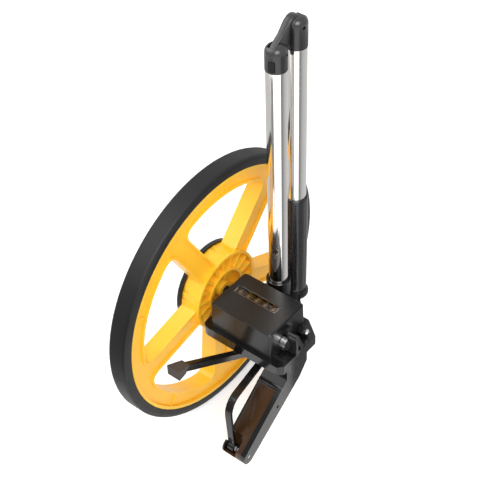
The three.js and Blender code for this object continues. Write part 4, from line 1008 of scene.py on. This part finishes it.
def tent_card(name, radius, heights, levels):
    """Part of a cylinder's wall between two heights: centre + radius * (cos, sin) over the levels' angles.

    Its brightness follows the (degrees, level) pairs, read along the UV map "round".
    """
    first, last = levels[0][0], levels[-1][0]
    share = np.linspace(0, 1, 91)
    angle = np.radians(first + (last - first) * share)
    x = DATUM.x + (TENT_CENTRE[0] + radius * np.cos(angle)) * MM
    y = DATUM.y + (TENT_CENTRE[1] + radius * np.sin(angle)) * MM
    rows = [np.stack([x, y, np.full_like(x, cad_box[0].z + height * MM)], 1) for height in heights]
    mesh = bpy.data.meshes.new(name)
    mesh.from_pydata(np.concatenate(rows).tolist(), [], grid_faces(2, len(share), close_columns=False))
    corners = np.empty(len(mesh.loops), int)
    mesh.loops.foreach_get("vertex_index", corners)
    flat = np.stack([np.tile(share, 2)[corners], corners // len(share)], 1)
    mesh.uv_layers.new(name="round").data.foreach_set("uv", flat.ravel())
    stops = [((at - first) / (last - first), level / TENT_BRIGHT) for at, level in levels]
    mesh.materials.append(tent_material(name, stops))
    card = bpy.data.objects.new(name, mesh)
    bpy.context.scene.collection.objects.link(card)
    gloss_only(card)


AMBER_SIZE = (0.185, 0.16)
AMBER_PLACE = (-107, -300)
AMBER_HEIGHT = 120
AMBER_LEVEL = (0.5, 0.3, 0.14, 1)


def make_amber_card():
    """A card before the wheel that the front post and the lever strap reflect."""
    x, y = DATUM.x + AMBER_PLACE[0] * MM, DATUM.y + AMBER_PLACE[1] * MM
    place = (x, y, cad_box[0].z + AMBER_HEIGHT * MM)
    material = card_material("amber card", AMBER_LEVEL)
    gloss_only(flat_quad("amber_card", AMBER_SIZE, place, (0, 1, 0), material))


def gloss_only(card):
    """Hides a card from every ray but the glossy ones."""
    for ray in ("camera", "diffuse", "shadow", "transmission", "volume_scatter"):
        setattr(card, "visible_" + ray, False)


def card_material(name, level):
    """A card of one brightness."""
    f = Finish(name)
    black = (0, 0, 0, 1)
    return f.shade(Base_Color=black, Specular_IOR_Level=0.0, Emission_Color=level, Emission_Strength=1.0)


def tent_material(name, stops):
    """Levels of grey read along the card's length."""
    f = Finish(name)
    along = f.node("ShaderNodeUVMap", {"uv_map": "round"})
    share = f.node("ShaderNodeSeparateXYZ", {}, {"Vector": along})
    level = f.node("ShaderNodeValToRGB", {"stops": stops}, {"Fac": share})
    return f.shade(
        Base_Color=(0, 0, 0, 1),
        Roughness=1.0,
        Specular_IOR_Level=0.0,
        Emission_Color=level,
        Emission_Strength=TENT_BRIGHT,
    )


ROOM_LEVEL = 0.7
FLOOR_SIZE = (14, 14)
FLOOR_GAP = 0.0004
LAMP_SIZE = 1.4
LAMP_AIM = (0, 0, 0.25)
LAMPS = (("key", (1.1, -1.0, 1.9), 38), ("fill", (-1.3, -0.8, 1.7), 16))


def make_stage():
    """Floor, an even room that is white where it is seen, and two soft boxes."""
    floor_place = (0, 0, cad_box[0].z - FLOOR_GAP)
    flat_quad("floor", FLOOR_SIZE, floor_place, (0, 0, 1), floor_material())
    world = bpy.data.worlds.new("soft room")
    room = Finish("soft room", world)
    camera, gloss, through = seen_by(room)
    strength = (1 - ROOM_LEVEL) * (camera + gloss + through) + ROOM_LEVEL
    light = room.node("ShaderNodeBackground", {}, {"Color": (1, 1, 1, 1), "Strength": strength})
    room.node("ShaderNodeOutputWorld", {}, {"Surface": light})
    scene = bpy.context.scene
    scene.world = world
    for name, place, power in LAMPS:
        soft_lamp(name, place, power)
    scene.view_settings.view_transform = "Standard"


def soft_lamp(name, place, power):
    """A square soft box aimed at the object's middle."""
    lamp = bpy.data.lights.new(name, "AREA")
    lamp.size = LAMP_SIZE
    lamp.energy = power
    holder = bpy.data.objects.new(name, lamp)
    bpy.context.scene.collection.objects.link(holder)
    holder.location = place
    holder.rotation_mode = "QUATERNION"
    aim = Vector(LAMP_AIM) - Vector(place)
    holder.rotation_quaternion = aim.to_track_quat("-Z", "Y")


dress_nodes()
make_wheel()
make_counter()
make_roll()
make_window_line()
make_drums()
make_poles()
make_camera()
make_stage()
make_tent()
make_amber_card()
